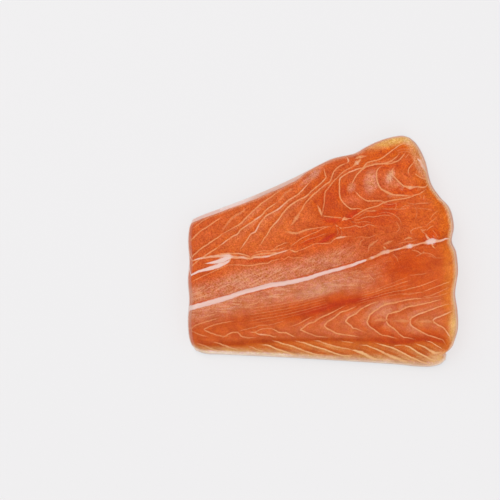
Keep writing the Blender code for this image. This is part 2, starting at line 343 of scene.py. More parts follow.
# White sheets that sweep from the belly edge towards the tail.
SWEEP = (
    plain(0.85, (222, 234), (213, 240.5), (203, 247), (194, 254.5), (188, 262)),
    plain(0.85, (218, 247), (208, 253.5), (199, 259.5), (190, 267.5)),
    plain(0.7, (221, 217), (211, 224), (200, 231.5), (191, 240), (188, 246)),
    thin(0.5, (209, 217.5), (200, 222.5), (192, 229)),
    Strand(0.4, (0.5, 0.7, 0.4), ((222, 230), (231, 219), (237, 214.5), (241.5, 212), (246, 208))),
    flake(0.7, -0.5, (222, 234), (233, 227.5), (240, 223.7), (245, 218.5), (252.7, 211),
          (259.3, 205), (264, 201.3), (272.7, 195.7), (281, 189.5)),
    flake(0.92, -0.4, (218, 247), (231.3, 237), (236.7, 234.3), (240.7, 229.5), (248, 224.3),
          (256, 219), (262, 214.7), (266, 209.7), (272.7, 205), (277, 202)),
    Strand(0.35, (0.3, 0.6, 0.6), ((277, 202), (281.5, 197.5), (285, 193), (292, 188.5))),
    flake(0.95, -0.4, (240.3, 248.7), (245.3, 241.7), (250.7, 234), (254.7, 231.7), (257, 228.3),
          (259.3, 223.7), (262.3, 219.7), (266, 215.7), (272, 212.3), (278.7, 208.7),
          (287.3, 201), (292.7, 197.3), (298.7, 193.3), (306, 185.7), (310, 181.7)),
    flake(0.85, -0.35, (259.3, 245.7), (263.7, 239), (268.7, 231.7), (270.7, 227.7), (278, 219.7),
          (284.7, 210.3), (292, 203.7), (302.7, 197.7), (307.3, 195), (311.3, 191),
          (319.3, 184.3), (325.7, 177.7), (325, 174.3), (323.7, 167.7)),
    flake(0.75, -0.3, (298, 214), (302, 209), (304, 204.3), (308, 199.7), (313.3, 194.3),
          (317.3, 191), (325.3, 184.3), (329.3, 181.7), (331.3, 177.7), (334, 171), (340, 165.7),
          (346, 163)),
    node(0.5, 1.0, (290, 226), (296, 218), (301, 209.5)),
    node(1.0, 0.6, (346.3, 157.5), (348.5, 160.5), (346.8, 163.5)),
    plain(0.58, (321.5, 215.7), (323.7, 203.7), (324.7, 192.3), (327.3, 189), (332.7, 181.7),
          (336.7, 177.7), (343.3, 171.7), (351.3, 167), (355.3, 165)),
    node(0.8, 1.1, (352, 167), (356.3, 163), (361.5, 158.7)),
    node(0.7, 0.9, (354.5, 158.7), (359, 157), (367, 155.8)),
    node(0.8, 0.7, (317, 205), (319.5, 210.3), (322, 217)),
)

# Sheets that curl round the thick part near the wide cut, with a painted highlight on the wall
# there.
SWIRL = (
    plain(0.85, (363.3, 210), (357.3, 208.3), (354, 209), (350.7, 208.7), (347.3, 206.7),
          (344, 203.7), (341.3, 200.3), (339.3, 195), (339.2, 184.3), (340, 178.3), (347.3, 173),
          (355.3, 169.7), (362.7, 167.7), (364.7, 165), (368, 162.3), (376.7, 160),
          (381.3, 158.3), (386.7, 154.3), (392.7, 149.7), (402, 143.7), (408, 144)),
    flake(0.85, 0.4, (351.3, 184.3), (354.7, 177.7), (359.3, 171.7), (365.3, 167), (368.7, 165.7),
          (376.7, 164), (382, 163.7), (390, 161.3), (396, 157), (398.7, 154)),
    plain(0.75, (384, 164.2), (388.7, 163.7), (396.7, 161), (400, 159), (402.3, 156.3),
          (404.7, 153)),
    thin(0.5, (405.3, 158), (406.3, 156.5), (408, 154)),
    flake(0.8, -0.9, (382, 166.2), (378.7, 167.7), (376.5, 171.5), (376.3, 177), (377.5, 183.5),
          (380.7, 188.3), (386.7, 192), (390.7, 194.2), (396, 194.9), (402.7, 195.3), (410, 195.9)),
    node(0.8, 0.8, (379, 188), (386, 191.8), (394, 194.8)),
    flake(0.85, -0.9, (393.7, 167), (392, 170.3), (392.7, 175), (396, 179), (401.3, 184.3),
          (405.3, 186.7), (415.3, 186.7), (424, 187), (427.3, 184.7), (430, 182)),
    node(0.9, 1.0, (401, 185), (408, 187.3), (418, 187)),
    plain(0.75, (351, 218.5), (355.3, 215.3), (362.7, 210.7), (370, 207.7), (377.3, 205.7),
          (382.7, 202.7), (386.7, 201.7), (393.3, 200), (400, 199), (409.3, 197.3), (414, 195),
          (418.7, 193.7), (425, 189.5)),
    plain(0.75, (355, 191.5), (360, 196.7), (363.3, 199), (367.3, 200.7), (376.7, 200.7),
          (385, 201.6)),
    thin(0.8, (413.7, 157.5), (413.5, 161.7), (409.3, 167), (408, 169.7), (407.9, 174)),
    plain(0.6, (414.3, 173.7), (418, 176.3), (422, 178.3), (427, 179.5)),
    Strand(1.15, (0.2, 0.6, 0.8, 0.7, 0.3),
           ((416.5, 158), (420.7, 162), (423, 167.3), (427.5, 172.5))),
    # A painted highlight on the wall near the wide cut, drawn as a white strand.
    Strand(0.95, (0.3, 0.5, 0.4, 0.2), ((419, 158.5), (422.7, 161), (425, 165), (427, 169.5))),
    node(0.95, 0.8, (422.5, 171), (425.5, 174.8), (428, 178.5), (430.5, 184)),
    thin(0.4, (398, 152.5), (405, 151.3), (413, 153.3)),
    thin(0.35, (419.3, 194.5), (420.7, 198.5)),
    thin(0.45, (423.3, 195), (423.3, 200)),
    thin(0.35, (396, 150.5), (403.3, 148.7), (412, 150.5)),
)

# Short sheets and wisps above the midline.
WISPS = (
    thin(0.7, (322.5, 215.7), (328.7, 216.7), (336.7, 217.3), (342, 218)),
    node(1.0, 0.75, (341.6, 220.8), (343.3, 218.6), (344.4, 216.3)),
    node(0.8, 0.45, (343.5, 219.3), (346, 219.5), (348.3, 218.7)),
    thin(0.65, (344.3, 216.7), (346.5, 218.3), (351.5, 218.5)),
    thin(0.65, (366, 211), (371, 211), (376, 210.7)),
    thin(0.3, (353.5, 219.7), (359.3, 215.7), (363.3, 213), (367, 210.8)),
    thin(0.55, (354, 220.5), (360.7, 218.7), (365.3, 217), (375.3, 216.7), (380, 215.7),
         (384.7, 215), (391, 216)),
    node(0.7, 0.4, (335.3, 224.6), (336.7, 226), (338.2, 226.4)),
    node(0.7, 0.45, (338.8, 227), (340.3, 228.3), (342, 228.3)),
    thin(0.3, (336, 228), (337.5, 231.3), (336.8, 234.5)),
    thin(0.3, (340.5, 230), (341.5, 233), (340.8, 235.6)),
    thin(0.6, (341, 228.2), (349.3, 227), (356, 225.7), (359.3, 227), (363.3, 226.3),
         (368, 224.7), (375, 226)),
    thin(0.58, (297, 250.7), (305.3, 248), (314.7, 243.7), (323.3, 243.3), (329.3, 243),
         (333.3, 239.7), (336, 238), (342, 237), (351, 236)),
    node(0.95, 0.65, (333, 239.3), (339, 237.3), (347, 236.2)),
    Strand(0.6, (0.7, 0.6, 0.3, 0.25), ((287, 231.8), (294.7, 233), (299.3, 232.3), (304, 230.5),
                                        (310, 228.9), (316, 228), (327, 226))),
    thin(0.55, (290.7, 246.5), (294, 243.3), (298, 240.7), (301.3, 238.3), (306, 236),
         (311.3, 233.7), (317.3, 231.3), (323.3, 228.3), (331, 226)),
    thin(0.45, (394.5, 202.7), (396, 205), (395, 208.3)),
    thin(0.4, (383.3, 208.7), (390, 209), (402, 209), (407, 207.5)),
    thin(0.3, (396, 221), (398.7, 228.3), (396, 232)),
    thin(0.35, (378, 213.5), (386, 212.3), (394, 215), (399, 219), (401, 224)),
    thin(0.35, (359, 245.5), (361, 241), (364.5, 238)),
    node(0.5, 0.8, (382.5, 244.5), (387, 242.8), (392.5, 240.5)),
    thin(0.4, (383, 203.8), (390, 204.3), (396, 203)),
    thin(0.4, (400, 208.7), (404, 206), (409.5, 205.3)),
    thin(0.4, (406, 202.5), (413, 204), (420, 203.3), (429, 203)),
    thin(0.3, (414.5, 206.5), (416.5, 212), (415, 218.5)),
    thin(0.35, (430, 217.5), (433.5, 213.7), (437, 210.7)),
    thin(0.3, (425, 226), (430.5, 221.5), (436, 217)),
    thin(0.35, (350, 221.5), (357, 222.5), (364, 221.5), (371, 222.5)),
    thin(0.3, (353, 238.5), (360, 236.5), (368, 237.5), (376, 234.5)),
    thin(0.35, (300, 243.7), (308, 239.5), (317, 236.7), (326, 233.3)),
    node(0.45, 0.7, (367.5, 252), (369.5, 246), (378, 239.5)),
    thin(0.3, (417, 208.3), (426, 209), (432, 210.3)),
)

# The valley over the midline, where short sheets meet.
VALLEY = (
    Strand(1.06, (0.3, 0.4, 0.55, 0.75, 0.95, 0.6, 0.5, 0.6, 0.42, 0.36, 0.26),
           ((188, 262), (200, 258.5), (212, 256.5), (224, 255.8), (235, 257.2), (243, 257.5),
            (249.5, 258.6), (254, 257.3), (260, 257), (268, 256), (275, 253.8), (280, 252.5),
            (290, 249))),
    Strand(1.7, (0.36, 0.36, 0.42, 0.55, 0.75, 1.0, 1.0, 0.65, 0.3),
           ((180, 281), (189, 276), (198, 271.6), (207, 269), (215, 266.8), (221, 264.8),
            (225.5, 263), (228.7, 260.8), (231, 258.3))),
    Strand(1.4, (0.1, 0.35, 0.8, 1.15, 1.0, 0.5, 0.3),
           ((204, 263.6), (211, 262.6), (217, 261.6), (222, 260.3), (226, 258.8), (230, 257.6),
            (236, 257.2))),
    thin(0.6, (192, 281.5), (203, 276), (213, 271.5), (222, 267.5), (228, 265), (234, 264.8)),
    plain(0.9, (218, 254), (226, 253.3), (233, 253.3), (239, 253.6), (245, 255), (251, 257)),
    plain(0.85, (251, 256.3), (258, 254.3), (263.3, 253.7), (270, 253), (277, 251.7)),
    thin(0.6, (254, 252.7), (262, 251), (272, 250.3), (279, 248.8), (285, 247)),
    thin(0.6, (272.3, 250), (279.3, 245), (287, 242.5)),
    plain(0.7, (289.5, 249.7), (292.7, 251), (295.3, 251.7), (298.5, 250.5)),
    plain(0.6, (231, 264.5), (240.7, 265), (246, 265.7), (252.7, 265), (263.3, 263.3),
          (267.3, 263.3), (272, 260.7), (280, 259)),
    thin(0.45, (281, 257.5), (284, 259.3), (288, 256.7), (292, 257.7), (304, 257.7)),
)

# Chevrons between the dark band and the crease: each runs in along its lower arm, turns at its
# tip and runs out along its upper arm.
CHEVRONS = (
    plain(0.55, (229, 336.5), (219, 335.5), (210, 332.5), (204, 329.5), (209, 326.5),
          (219, 323.5), (233, 321)),
    plain(0.5, (207, 336.5), (198, 334), (191, 330), (195, 325.5), (206, 321.5), (219, 318)),
    thin(0.4, (196, 318.5), (205, 316.5), (218, 313)),
    plain(0.65, (255, 337.3), (249.3, 337.7), (244.7, 337), (240.7, 335.7), (238.5, 333.2),
          (236, 332), (230, 333), (222, 338)),
    thin(0.4, (238, 331.3), (243.3, 329.7), (249.3, 328.3), (254.7, 327), (259.3, 325.3),
         (271.3, 324.3), (284, 320.5)),
    plain(0.85, (276, 336.8), (272, 336.3), (268.7, 335), (259.3, 334.3), (256.7, 333.3),
          (254.7, 332), (250, 331.7)),
    thin(0.55, (255, 332), (260.7, 329.3), (266, 328.3), (272, 328.3)),
    plain(0.85, (294.5, 336.7), (289.3, 334.3), (286, 332.7), (279.3, 332.3), (275.3, 330.3),
          (271.5, 328.2)),
    thin(0.5, (291.5, 325.8), (296, 324.3), (300, 322.7), (304.7, 320), (312, 316.5)),
    flake(0.7, 0.3, (327, 337), (322, 336.7), (317.3, 336.3), (313.3, 335), (306, 332.3),
          (302, 330.3), (300.4, 329.7), (302.7, 327.7), (306, 325), (310, 323), (314, 321.7),
          (320, 317.7), (330, 313.2), (338.7, 308.7), (344, 306)),
    flake(0.78, 0.35, (358, 336.6), (350.7, 335.3), (342.7, 334.3), (336, 333), (329.3, 329.7),
          (326, 327.7), (324.3, 325), (326, 323), (329.3, 320.3), (335.3, 316.3), (340, 312.3),
          (347.3, 310), (356, 306)),
    flake(0.8, 0.5, (362.7, 331), (356, 328.7), (352.7, 327.7), (350, 325), (347.3, 323),
          (345.3, 321.2), (346.7, 319.3), (349.3, 316.7), (354.7, 314), (359.3, 310),
          (364.7, 306.5), (369.3, 304.3), (377, 301.5)),
    flake(0.78, 0.8, (396, 338.3), (388, 336), (380.7, 334.3), (374, 329.7), (370.7, 327.3),
          (368.3, 325), (367, 321.5), (368, 319), (368.9, 315), (372.3, 312.3), (377, 309.3),
          (381.3, 306.3), (386, 304.3), (395.3, 302.3), (401, 301), (409, 299.3), (423, 298.2)),
    flake(0.82, 0.9, (413, 338.6), (408, 337.7), (403.3, 337), (400, 334.7), (394.7, 329.7),
          (388.7, 325), (386, 321.5), (386.3, 317.7), (387.5, 314.3), (392, 312.7),
          (398.7, 311.2), (403.3, 308.5), (409, 306.2), (415.3, 305.3), (427, 302.7),
          (440, 299.3)),
    flake(0.9, 0.9, (444.5, 343), (442, 339.7), (435.3, 337.3), (427.3, 334.7), (419.3, 330.7),
          (412, 326.3), (410, 323.5), (410, 319.5), (413.5, 316.3), (420.7, 313), (429.3, 310),
          (437.3, 307), (448, 303.8)),
    flake(0.95, 0.2, (450, 340), (449.3, 336.3), (447.3, 333), (442.7, 327.7), (436.7, 324.3),
          (433, 321.5), (434, 318.7), (440, 316), (446.7, 313), (453, 310)),
    node(0.8, 0.7, (391, 312.8), (395, 311.8), (400, 310.8)),
    thin(0.6, (400.7, 291), (409.3, 288.3), (418.7, 286), (426.7, 283.3), (436, 279.6)),
    thin(0.55, (423.3, 291), (432.7, 287.7), (440, 284.7), (449.5, 281.3)),
    thin(0.45, (401.3, 294.3), (408.7, 294.3), (415.3, 292.7), (422.5, 292)),
    thin(0.5, (422.7, 296.7), (429.3, 295.7), (437.3, 292.3), (448, 287.3)),
    thin(0.4, (423, 298.3), (432.7, 297), (438.7, 295.7), (447, 292.5)),
    thin(0.3, (408.7, 275), (419.3, 274.3), (427, 272.7)),
    thin(0.35, (362, 274.3), (365.3, 276.3), (370, 276.3), (374.3, 280.6)),
    thin(0.35, (375, 290.2), (379.5, 288)),
    thin(0.5, (248, 304.5), (252.7, 304.3), (256, 303), (260.3, 300)),
    *(Strand(0.35, (0.3, 0.9, 0.7), points)
      for points in (((374, 320.5), (380, 319.5), (386, 320)),
                     ((392, 321), (400, 320.5), (409, 321)),
                     ((418, 321.5), (425, 321), (432, 321.5)))),
)

# Slanting sheets of the strip between the crease and the back edge.
STRIP = (
    flake(0.55, -0.8, (213, 342), (221, 344), (229, 347), (238, 350)),
    flake(0.5, -0.8, (196, 343), (204, 345.5), (212, 349), (220, 351)),
    thin(0.55, (248.5, 346), (254, 348), (256.7, 349.7), (263, 351)),
    flake(0.9, -0.6, (262, 344.5), (268.7, 345.3), (272.7, 347), (276, 348.7), (284.7, 351.7),
          (292.7, 354.3), (298, 356.3)),
    flake(0.8, -0.45, (272, 340.3), (278, 342), (283.3, 343.7), (293.3, 346.3), (298, 348.3),
          (306, 351.3), (314.7, 354), (324, 355)),
    flake(0.85, -0.45, (296, 341), (302.7, 342.3), (310.7, 345), (316.7, 347), (327.3, 350.3),
          (336, 353.7), (344.7, 355.7), (352, 355.7)),
    flake(0.55, -0.5, (314, 340.3), (320, 341.3), (326, 343.7), (336.7, 346.7), (347.3, 348.7),
          (353, 350)),
    Strand(0.95, (0.3, 0.8, 0.7, 0.4), ((351, 349.3), (356.7, 351), (364, 353.7), (371.3, 357.7),
                                        (378, 359.5))),
    thin(0.45, (341, 340.8), (347, 341.7), (353, 342.7)),
    Strand(0.8, (0.25, 0.4, 0.8, 0.7), ((360, 345), (366.7, 345.3), (373.3, 348.3),
                                         (380.7, 351), (386.7, 354.3), (395.3, 357.7),
                                         (404.7, 361.7), (410, 363.3))),
    flake(0.98, -0.7, (377, 343.5), (386, 346), (393.3, 348.3), (402, 352.3), (410, 356.7),
          (418, 360.3), (424, 362.8), (430, 364)),
    thin(0.5, (394, 345.5), (398, 345), (403.3, 345)),
    flake(0.98, -0.7, (403, 345), (409.3, 347), (416.7, 351.7), (424.7, 356), (431.3, 359.3),
          (438, 360.5)),
    Strand(0.8, (0.25, 0.35, 0.5, 0.8, 0.3), ((416.5, 344), (424, 346.7), (430, 350.3),
                                              (435.3, 353), (440, 352))),
    thin(0.75, (427, 341), (431.3, 342.3), (434, 344.3), (441.5, 348.3)),
)

# The midline sheet, broad at the tail, with its spots of fat near the wide cut.
MIDLINE = (
    Strand(1.35, (1.2, 1.2, 1.25, 1.15, 1.05, 1.15, 1.15, 1.0, 0.9, 0.9, 0.7, 0.4),
           ((183, 310), (206, 303.5), (228, 297.2), (242.7, 292.2), (256, 288.8),
            (268.7, 285.5), (284.7, 283), (296.7, 280.6), (310, 277.4), (320, 274),
            (330, 271.1), (340, 268.5), (351, 265.2), (360.7, 261.6), (366.7, 259.6),
            (375.3, 256))),
    Strand(1.02, (0.8, 0.8, 0.72, 0.7, 0.95, 1.05, 0.5, 0.4, 0.4, 0.75, 1.2, 0.55, 0.4, 0.4,
                  1.15, 1.55, 0.85, 0.6, 0.42, 0.38, 0.3),
           ((367, 259.5), (371.5, 257.7), (378, 255), (384, 252), (392.7, 250.2), (400, 248.4),
            (404.5, 246.9), (409, 246.3), (414.5, 245), (420, 243.5), (426, 242.3), (432, 241.2),
            (438, 240.8), (442, 240), (446, 238.5), (449.5, 239), (452, 242))),
    node(0.9, 0.6, (424.5, 235), (427, 237.3), (430, 239.5)),
    node(0.7, 0.5, (430.5, 243.5), (432, 246), (434.5, 248.3)),
    thin(0.5, (411, 250.7), (416, 251), (420.5, 253.3), (424, 252.8), (429, 253.5),
         (433, 255.5), (435.5, 258)),
    thin(0.4, (415.5, 256), (420.5, 254), (423.5, 251)),
    thin(0.3, (427, 256), (431, 256.3), (436, 258), (442, 257.5)),
    thin(0.35, (392, 254), (396, 257.5), (397.5, 261)),
    node(0.7, 0.6, (382.5, 246.5), (386, 249)),
    node(0.6, 0.6, (403, 240.3), (408, 237.5), (412.5, 238.3)),
    thin(0.35, (398, 243.5), (404, 242), (411, 241.3), (416, 239.5)),
    thin(0.5, (411, 234), (410.5, 231), (413.5, 228.8), (418, 227.7), (421.5, 226.3)),
    node(0.55, 0.6, (419.5, 229), (423, 230.3), (425.7, 229.3)),
    thin(0.45, (426, 230.7), (429, 227.7), (433, 225.5)),
    thin(0.45, (421, 231.5), (425, 233.7), (427.5, 236.3)),
    thin(0.35, (432, 230), (435, 233.5), (438, 238)),
)

# Faint sheets side by side along the dark band.
BAND = (
    *fan(0.25, 6, ((248, 324), (265, 321), (284, 317.5), (304, 312.5), (328, 305.7)),
         ((250, 308.3), (267, 306), (284, 303.3), (302, 299.6), (322, 294.5))),
    *fan(0.35, 5, ((362, 293), (376, 289), (390, 283.5), (408, 276.5)),
         ((356, 304), (374, 299), (392, 294.7), (412, 292.5))),
)

# Sheets that show on the wide cut itself, as if it were folded up level with the cut face.
WIDE_CUT = (
    Strand(0.95, (0.4, 0.7, 0.55, 0.5, 0.3), ((450, 240.5), (459, 241), (468, 239.5), (482, 238))),
    *fan(0.85, 5, ((454, 312), (461, 314), (464, 320), (462, 327), (455, 331)),
         ((452, 284), (472, 290), (482, 312), (476, 338), (452, 353))),
    *fan(0.8, 4, ((424, 165), (432, 168), (437, 174), (436, 180), (429, 182)),
         ((413, 142), (436, 147), (457, 168), (464, 194), (447, 207))),
    *fan(0.7, 4, ((451, 236), (463, 231), (478, 229)), ((450, 213), (462, 206), (474, 202))),
    *fan(0.7, 4, ((451, 247), (464, 251), (480, 254)), ((455, 273), (466, 277), (482, 286))),
)

STRANDS = (*SWEEP, *SWIRL, *WISPS, *VALLEY, *CHEVRONS, *STRIP, *MIDLINE, *BAND, *WIDE_CUT)

# The way of the fibres where no strand shows it: along the dark band, and slanting away from
# both sides of the midline.
GUIDES = (
    ((186, 334), (228, 327), (262, 320), (300, 311), (340, 300), (380, 292), (430, 281)),
    ((186, 322), (228, 316), (268, 309), (306, 300), (340, 292)),
    *(((x, y), (x + 9, y - 8)) for x, y in ((208, 292), (232, 287), (246, 283), (258, 279),
                                           (272, 276), (288, 271), (304, 266), (320, 261),
                                           (336, 255), (352, 250))),
    *(((x, y), (x + 8, y + 6)) for x, y in ((216, 305), (234, 301), (250, 297), (266, 293),
                                           (282, 291), (298, 287), (314, 284), (330, 280),
                                           (346, 274))),
)


class StrandField:
    """The distance from any place on the cut face to the strand that is nearest to it."""

    spacing: float = 0.2
    shake: float = 0.16
    reach: float = 5.0
    seed_step: float = 1.7
    glow_reach: float = 2.4
    most_half_widths: float = 8.0

    def __init__(self, strands: Sequence[Strand]) -> None:
        """Samples all strands, each with shakes of its own."""
        self.lines = [strand.samples(self.spacing, self.shake, self.seed_step * number)
                      for number, strand in enumerate(strands)]

    def read(self, places: Array) -> dict[str, Array]:
        """Measures places against the strands.

        Args:
            places: Rows of x and y.

        Returns:
            "across" is the signed distance in half widths, "near" is 0 where the nearest strand
            gives way to the next, "fat" is its whiteness, "away" the distance and "glow" how
            much the strand pales the flesh, or darkens it with painted shade where below 0.
        """
        away, rim, second = (np.full(len(places), self.reach) for _ in range(3))
        found = np.tile((0.0, 0.0, 1.0, 0.0, 1.0, 0.0, 0.0), (len(places), 1))
        for line in self.lines:
            low, high = line[:, :2].min(0) - self.reach, line[:, :2].max(0) + self.reach
            close = np.flatnonzero(np.all((places > low) & (places < high), axis=1))
            if not len(close):
                continue
            distances = gaps(places[close], line[:, :2])
            nearest = distances.argmin(1)
            gap = distances[np.arange(len(close)), nearest]
            edge = gap - line[nearest, 4]
            first = edge < rim[close]
            second[close] = np.where(first, rim[close], np.minimum(second[close], edge))
            rim[close] = np.where(first, edge, rim[close])
            away[close] = np.where(first, gap, away[close])
            found[close[first]] = line[nearest[first]]
        offset = places - found[:, :2]
        side = found[:, 2] * offset[:, 1] - found[:, 3] * offset[:, 0]
        side = np.where(away < self.reach, side, self.reach)
        most = self.most_half_widths
        across = np.clip(np.copysign(away, side) / found[:, 4], -most, most)
        near = np.maximum(ease(0.4, 0.9, second - rim), 1 - ease(0.7, 1.2, np.abs(across)))
        glow = found[:, 6] * np.sign(side) * np.exp(-np.abs(side) / self.glow_reach)
        return {"across": across, "near": near, "fat": found[:, 5], "away": away, "glow": glow}


class FibreField:
    """Fine muscle fibres that run along with the strands, as numbers on an even raster."""

    cell: float = 0.36
    half_size: Point = (78.0, 57.0)
    coarse: int = 6
    reach: float = 4.5
    half_length: int = 6
    seed: int = 5
    pale_share: float = 0.008
    pale_gain: float = 7.0

    def __init__(self, strands: StrandField, guides: Sequence[Points]) -> None:
        """Smears noise along the directions of the strands and guides round it.

        Args:
            strands: The strands of the cut face.
            guides: Lines that show the way of the fibres between the strands.
        """
        self.shape = tuple(int(2 * half / self.cell) + 1 for half in self.half_size)
        shown = [line[::5, :4] for line in strands.lines]
        hidden = [Strand(0, (1, 1), guide).samples(1.0, 0.0, 0.0)[:, :4] for guide in guides]
        ahead = self.directions(np.vstack(shown + hidden))
        dice = np.random.default_rng(self.seed)
        grain = dice.normal(size=self.shape)
        grain += self.pale_gain * (dice.random(self.shape) < self.pale_share)
        smeared = grain.copy()
        for way in (-1, 1):
            at, course = grid(*map(np.arange, self.shape)), way * ahead.reshape(-1, 2)
            for _ in range(self.half_length):
                at = np.clip(at + course, 0, np.array(self.shape) - 1)
                here = tuple(np.round(at).astype(int).T)
                course = ahead[here] * np.sign((ahead[here] * course).sum(1))[:, None]
                smeared += grain[here].reshape(self.shape)
        self.values = (smeared - smeared.mean()) / smeared.std()

    def directions(self, samples: Array) -> Array:
        """The way of the fibres in each cell, from the strands that pass near.

        Args:
            samples: Rows of x, y and the direction's x and y.

        Returns:
            Unit vectors, whose sign means nothing.
        """
        counts = [n // self.coarse + 2 for n in self.shape]
        middles = [np.arange(n) * self.coarse * self.cell - half
                   for n, half in zip(counts, self.half_size)]
        weights = np.exp(-gaps(grid(*middles), samples[:, :2]) / self.reach * 2) + 1e-9
        angle = 2 * np.arctan2(samples[:, 3], samples[:, 2])
        doubled = unit(np.column_stack([weights @ np.cos(angle), weights @ np.sin(angle)]))
        at = grid(*(np.arange(n) / self.coarse for n in self.shape))
        level, upright = (blend(part.reshape(counts), at) for part in doubled.T)
        half_angle = np.arctan2(upright, level).reshape(self.shape) / 2
        return np.stack([np.cos(half_angle), np.sin(half_angle)], -1)

    def read(self, places: Array) -> Array:
        """How pale the fibre is at each place, about 0 with a spread of 1."""
        last = np.array(self.shape) - 1.001
        return blend(self.values, np.clip((places + self.half_size) / self.cell, 0, last))


@dataclass(frozen=True)
class Stain:
    """A soft patch of another colour on the cut face.

    Attributes:
        centre: Its middle, as a pixel of the photograph.
        reach: Its half length and half width, in pixels.
        turn: The angle of its length, in degrees, with the photograph's right as 0.
        colour: Its colour, as a screen shows it.
        amount: How much of it shows at its middle, from 0 to 1.
        crispness: How sharply it ends.
    """

    centre: Point
    reach: Point
    turn: float
    colour: Colour
    amount: float
    crispness: float = 1.5

    def mask(self, places: Array) -> Array:
        """How much of it shows at each place."""
        offset = places - PHOTO.to_mm([self.centre])
        angle = math.radians(self.turn)
        long = offset[:, 0] * math.cos(angle) + offset[:, 1] * math.sin(angle)
        broad = offset[:, 1] * math.cos(angle) - offset[:, 0] * math.sin(angle)
        reach = np.array(self.reach) * PHOTO.mm_per_pixel
        out = (long / reach[0]) ** 2 + (broad / reach[1]) ** 2
        return self.amount * np.exp(-out ** self.crispness)


STAINS = tuple(Stain(*row) for row in (
    ((243, 275), (24, 8), 18, (207, 136, 104), 0.6),
    ((242, 303), (16, 6), 12, (200, 112, 74), 0.5),
    ((362, 269), (12, 4), 14, (196, 92, 44), 0.7),
    ((262, 225), (62, 30), 38, (212, 104, 53), 0.9),
    ((258, 257), (36, 9), 12, (207, 100, 58), 0.7),
    ((334, 200), (18, 27), 70, (199, 78, 18), 0.95),
    ((345, 191), (4, 6), 0, (188, 66, 24), 0.7),
    ((352, 199), (16, 9), 20, (208, 92, 52), 0.6),
    ((372, 222), (40, 11), 6, (202, 80, 39), 0.9),
    ((318, 235), (26, 8), 24, (205, 82, 36), 0.8),
    ((351, 187.5), (4.0, 5.5), -30, (213, 134, 100), 0.7, 2.5),
    ((370.5, 181.5), (7, 12), -10, (212, 137, 104), 0.72, 2.5),
    ((388, 183), (9, 9), 0, (212, 116, 76), 0.7),
    ((404, 175), (16, 12), 0, (214, 102, 52), 0.8),
    ((405, 190.5), (18, 3.5), 2, (206, 80, 33), 0.8),
    ((390, 176), (3.5, 7), -20, (229, 172, 136), 0.9),
    ((392, 166), (22, 5), 0, (206, 84, 36), 0.8),
    ((352, 201), (12, 6), 10, (214, 108, 68), 0.7),
    ((403, 266), (30, 18), 10, (200, 80, 37), 0.9),
    ((386, 238), (34, 15), 10, (196, 88, 48), 0.85),
    ((425, 222), (26, 22), 0, (211, 98, 46), 0.8),
    ((432, 236), (14, 8), 5, (207, 80, 28), 0.85),
    ((332, 220.5), (9, 3), 2, (203, 66, 22), 0.8),
    ((352, 214.5), (9, 3.5), 35, (197, 62, 22), 0.8),
    ((327, 238.5), (11, 2.5), 32, (188, 52, 20), 0.85),
    ((390, 205), (9, 2.5), 2, (204, 64, 30), 0.7),
    ((384, 212), (13, 2.5), 4, (203, 70, 34), 0.7),
    ((310, 240), (12, 2), 28, (198, 68, 26), 0.7),
    ((262, 259.7), (16, 2), 6, (196, 66, 26), 0.7),
    ((403, 267), (9, 7), 0, (196, 72, 30), 0.4),
    ((390, 151), (30, 7), 22, (210, 92, 20), 0.9),
    ((311, 176.5), (13, 3.2), 40, (208, 138, 108), 0.65, 2.0),
    ((315, 173.5), (4, 5.5), -30, (205, 138, 112), 0.5, 2.0),
    ((381, 308), (12, 8), 15, (214, 134, 100), 0.9),
    ((402, 316), (14, 7), 15, (204, 106, 64), 0.8),
    ((424, 322), (14, 8), 15, (213, 119, 73), 0.8),
    ((385, 331), (30, 5), -14, (202, 86, 42), 0.8),
    ((432, 333), (16, 4), -14, (208, 92, 44), 0.8),
    ((318, 291), (24, 6), 14, (204, 139, 108), 0.8),
))

# Gold patches at the corners of the wide cut.
GOLDS = tuple(Stain(*row) for row in (
    ((398, 139.5), (29, 4.8), 15, (231, 177, 104), 0.9),
    ((409, 141), (7, 4.5), -30, (229, 182, 134), 0.85),
    ((413.5, 150), (4.5, 8), 25, (218, 146, 92), 0.75),
    ((419.5, 166), (13, 4), -67, (218, 148, 108), 0.85),
    ((441, 358), (13, 7), 0, (232, 180, 126), 0.8),
    ((451, 284), (8, 36), 0, (216, 120, 55), 0.75),
    ((456, 329), (7, 22), 0, (232, 186, 118), 0.9),
))


class Value:
    """A shader socket that adds Math nodes when it is used in arithmetic."""

    def __init__(self, graph: "Graph", socket: bpy.types.NodeSocket) -> None:
        """Wraps an output socket of one of the graph's nodes."""
        self.graph = graph
        self.socket = socket

    def math(self, operation: str, *operands: "Value | float") -> "Value":
        """One Math node over the operands, in the given order."""
        return self.graph.node("Math", {"operation": operation}, dict(enumerate(operands)))

    def __add__(self, other: "Value | float") -> "Value":
        """This value plus the other."""
        return self.math("ADD", self, other)

    def __mul__(self, other: "Value | float") -> "Value":
        """This value times the other."""
        return self.math("MULTIPLY", self, other)

    def __sub__(self, other: "Value | float") -> "Value":
        """This value less the other."""
        return self.math("SUBTRACT", self, other)

    def __rsub__(self, other: "Value | float") -> "Value":
        """The other value less this one."""
        return self.math("SUBTRACT", other, self)

    __radd__ = __add__
    __rmul__ = __mul__

    def exp(self) -> "Value":
        """The exponential of this value."""
        return self.math("EXPONENT", self)

    def least(self, other: "Value | float") -> "Value":
        """The smaller of this value and the other."""
        return self.math("MINIMUM", self, other)

    def step(self, low: float, high: float) -> "Value":
        """0 below low, 1 above high and smooth between."""
        inputs = {0: self, 1: low, 2: high, 3: 0.0, 4: 1.0}
        return self.graph.node("MapRange", {"interpolation_type": "SMOOTHSTEP"}, inputs)


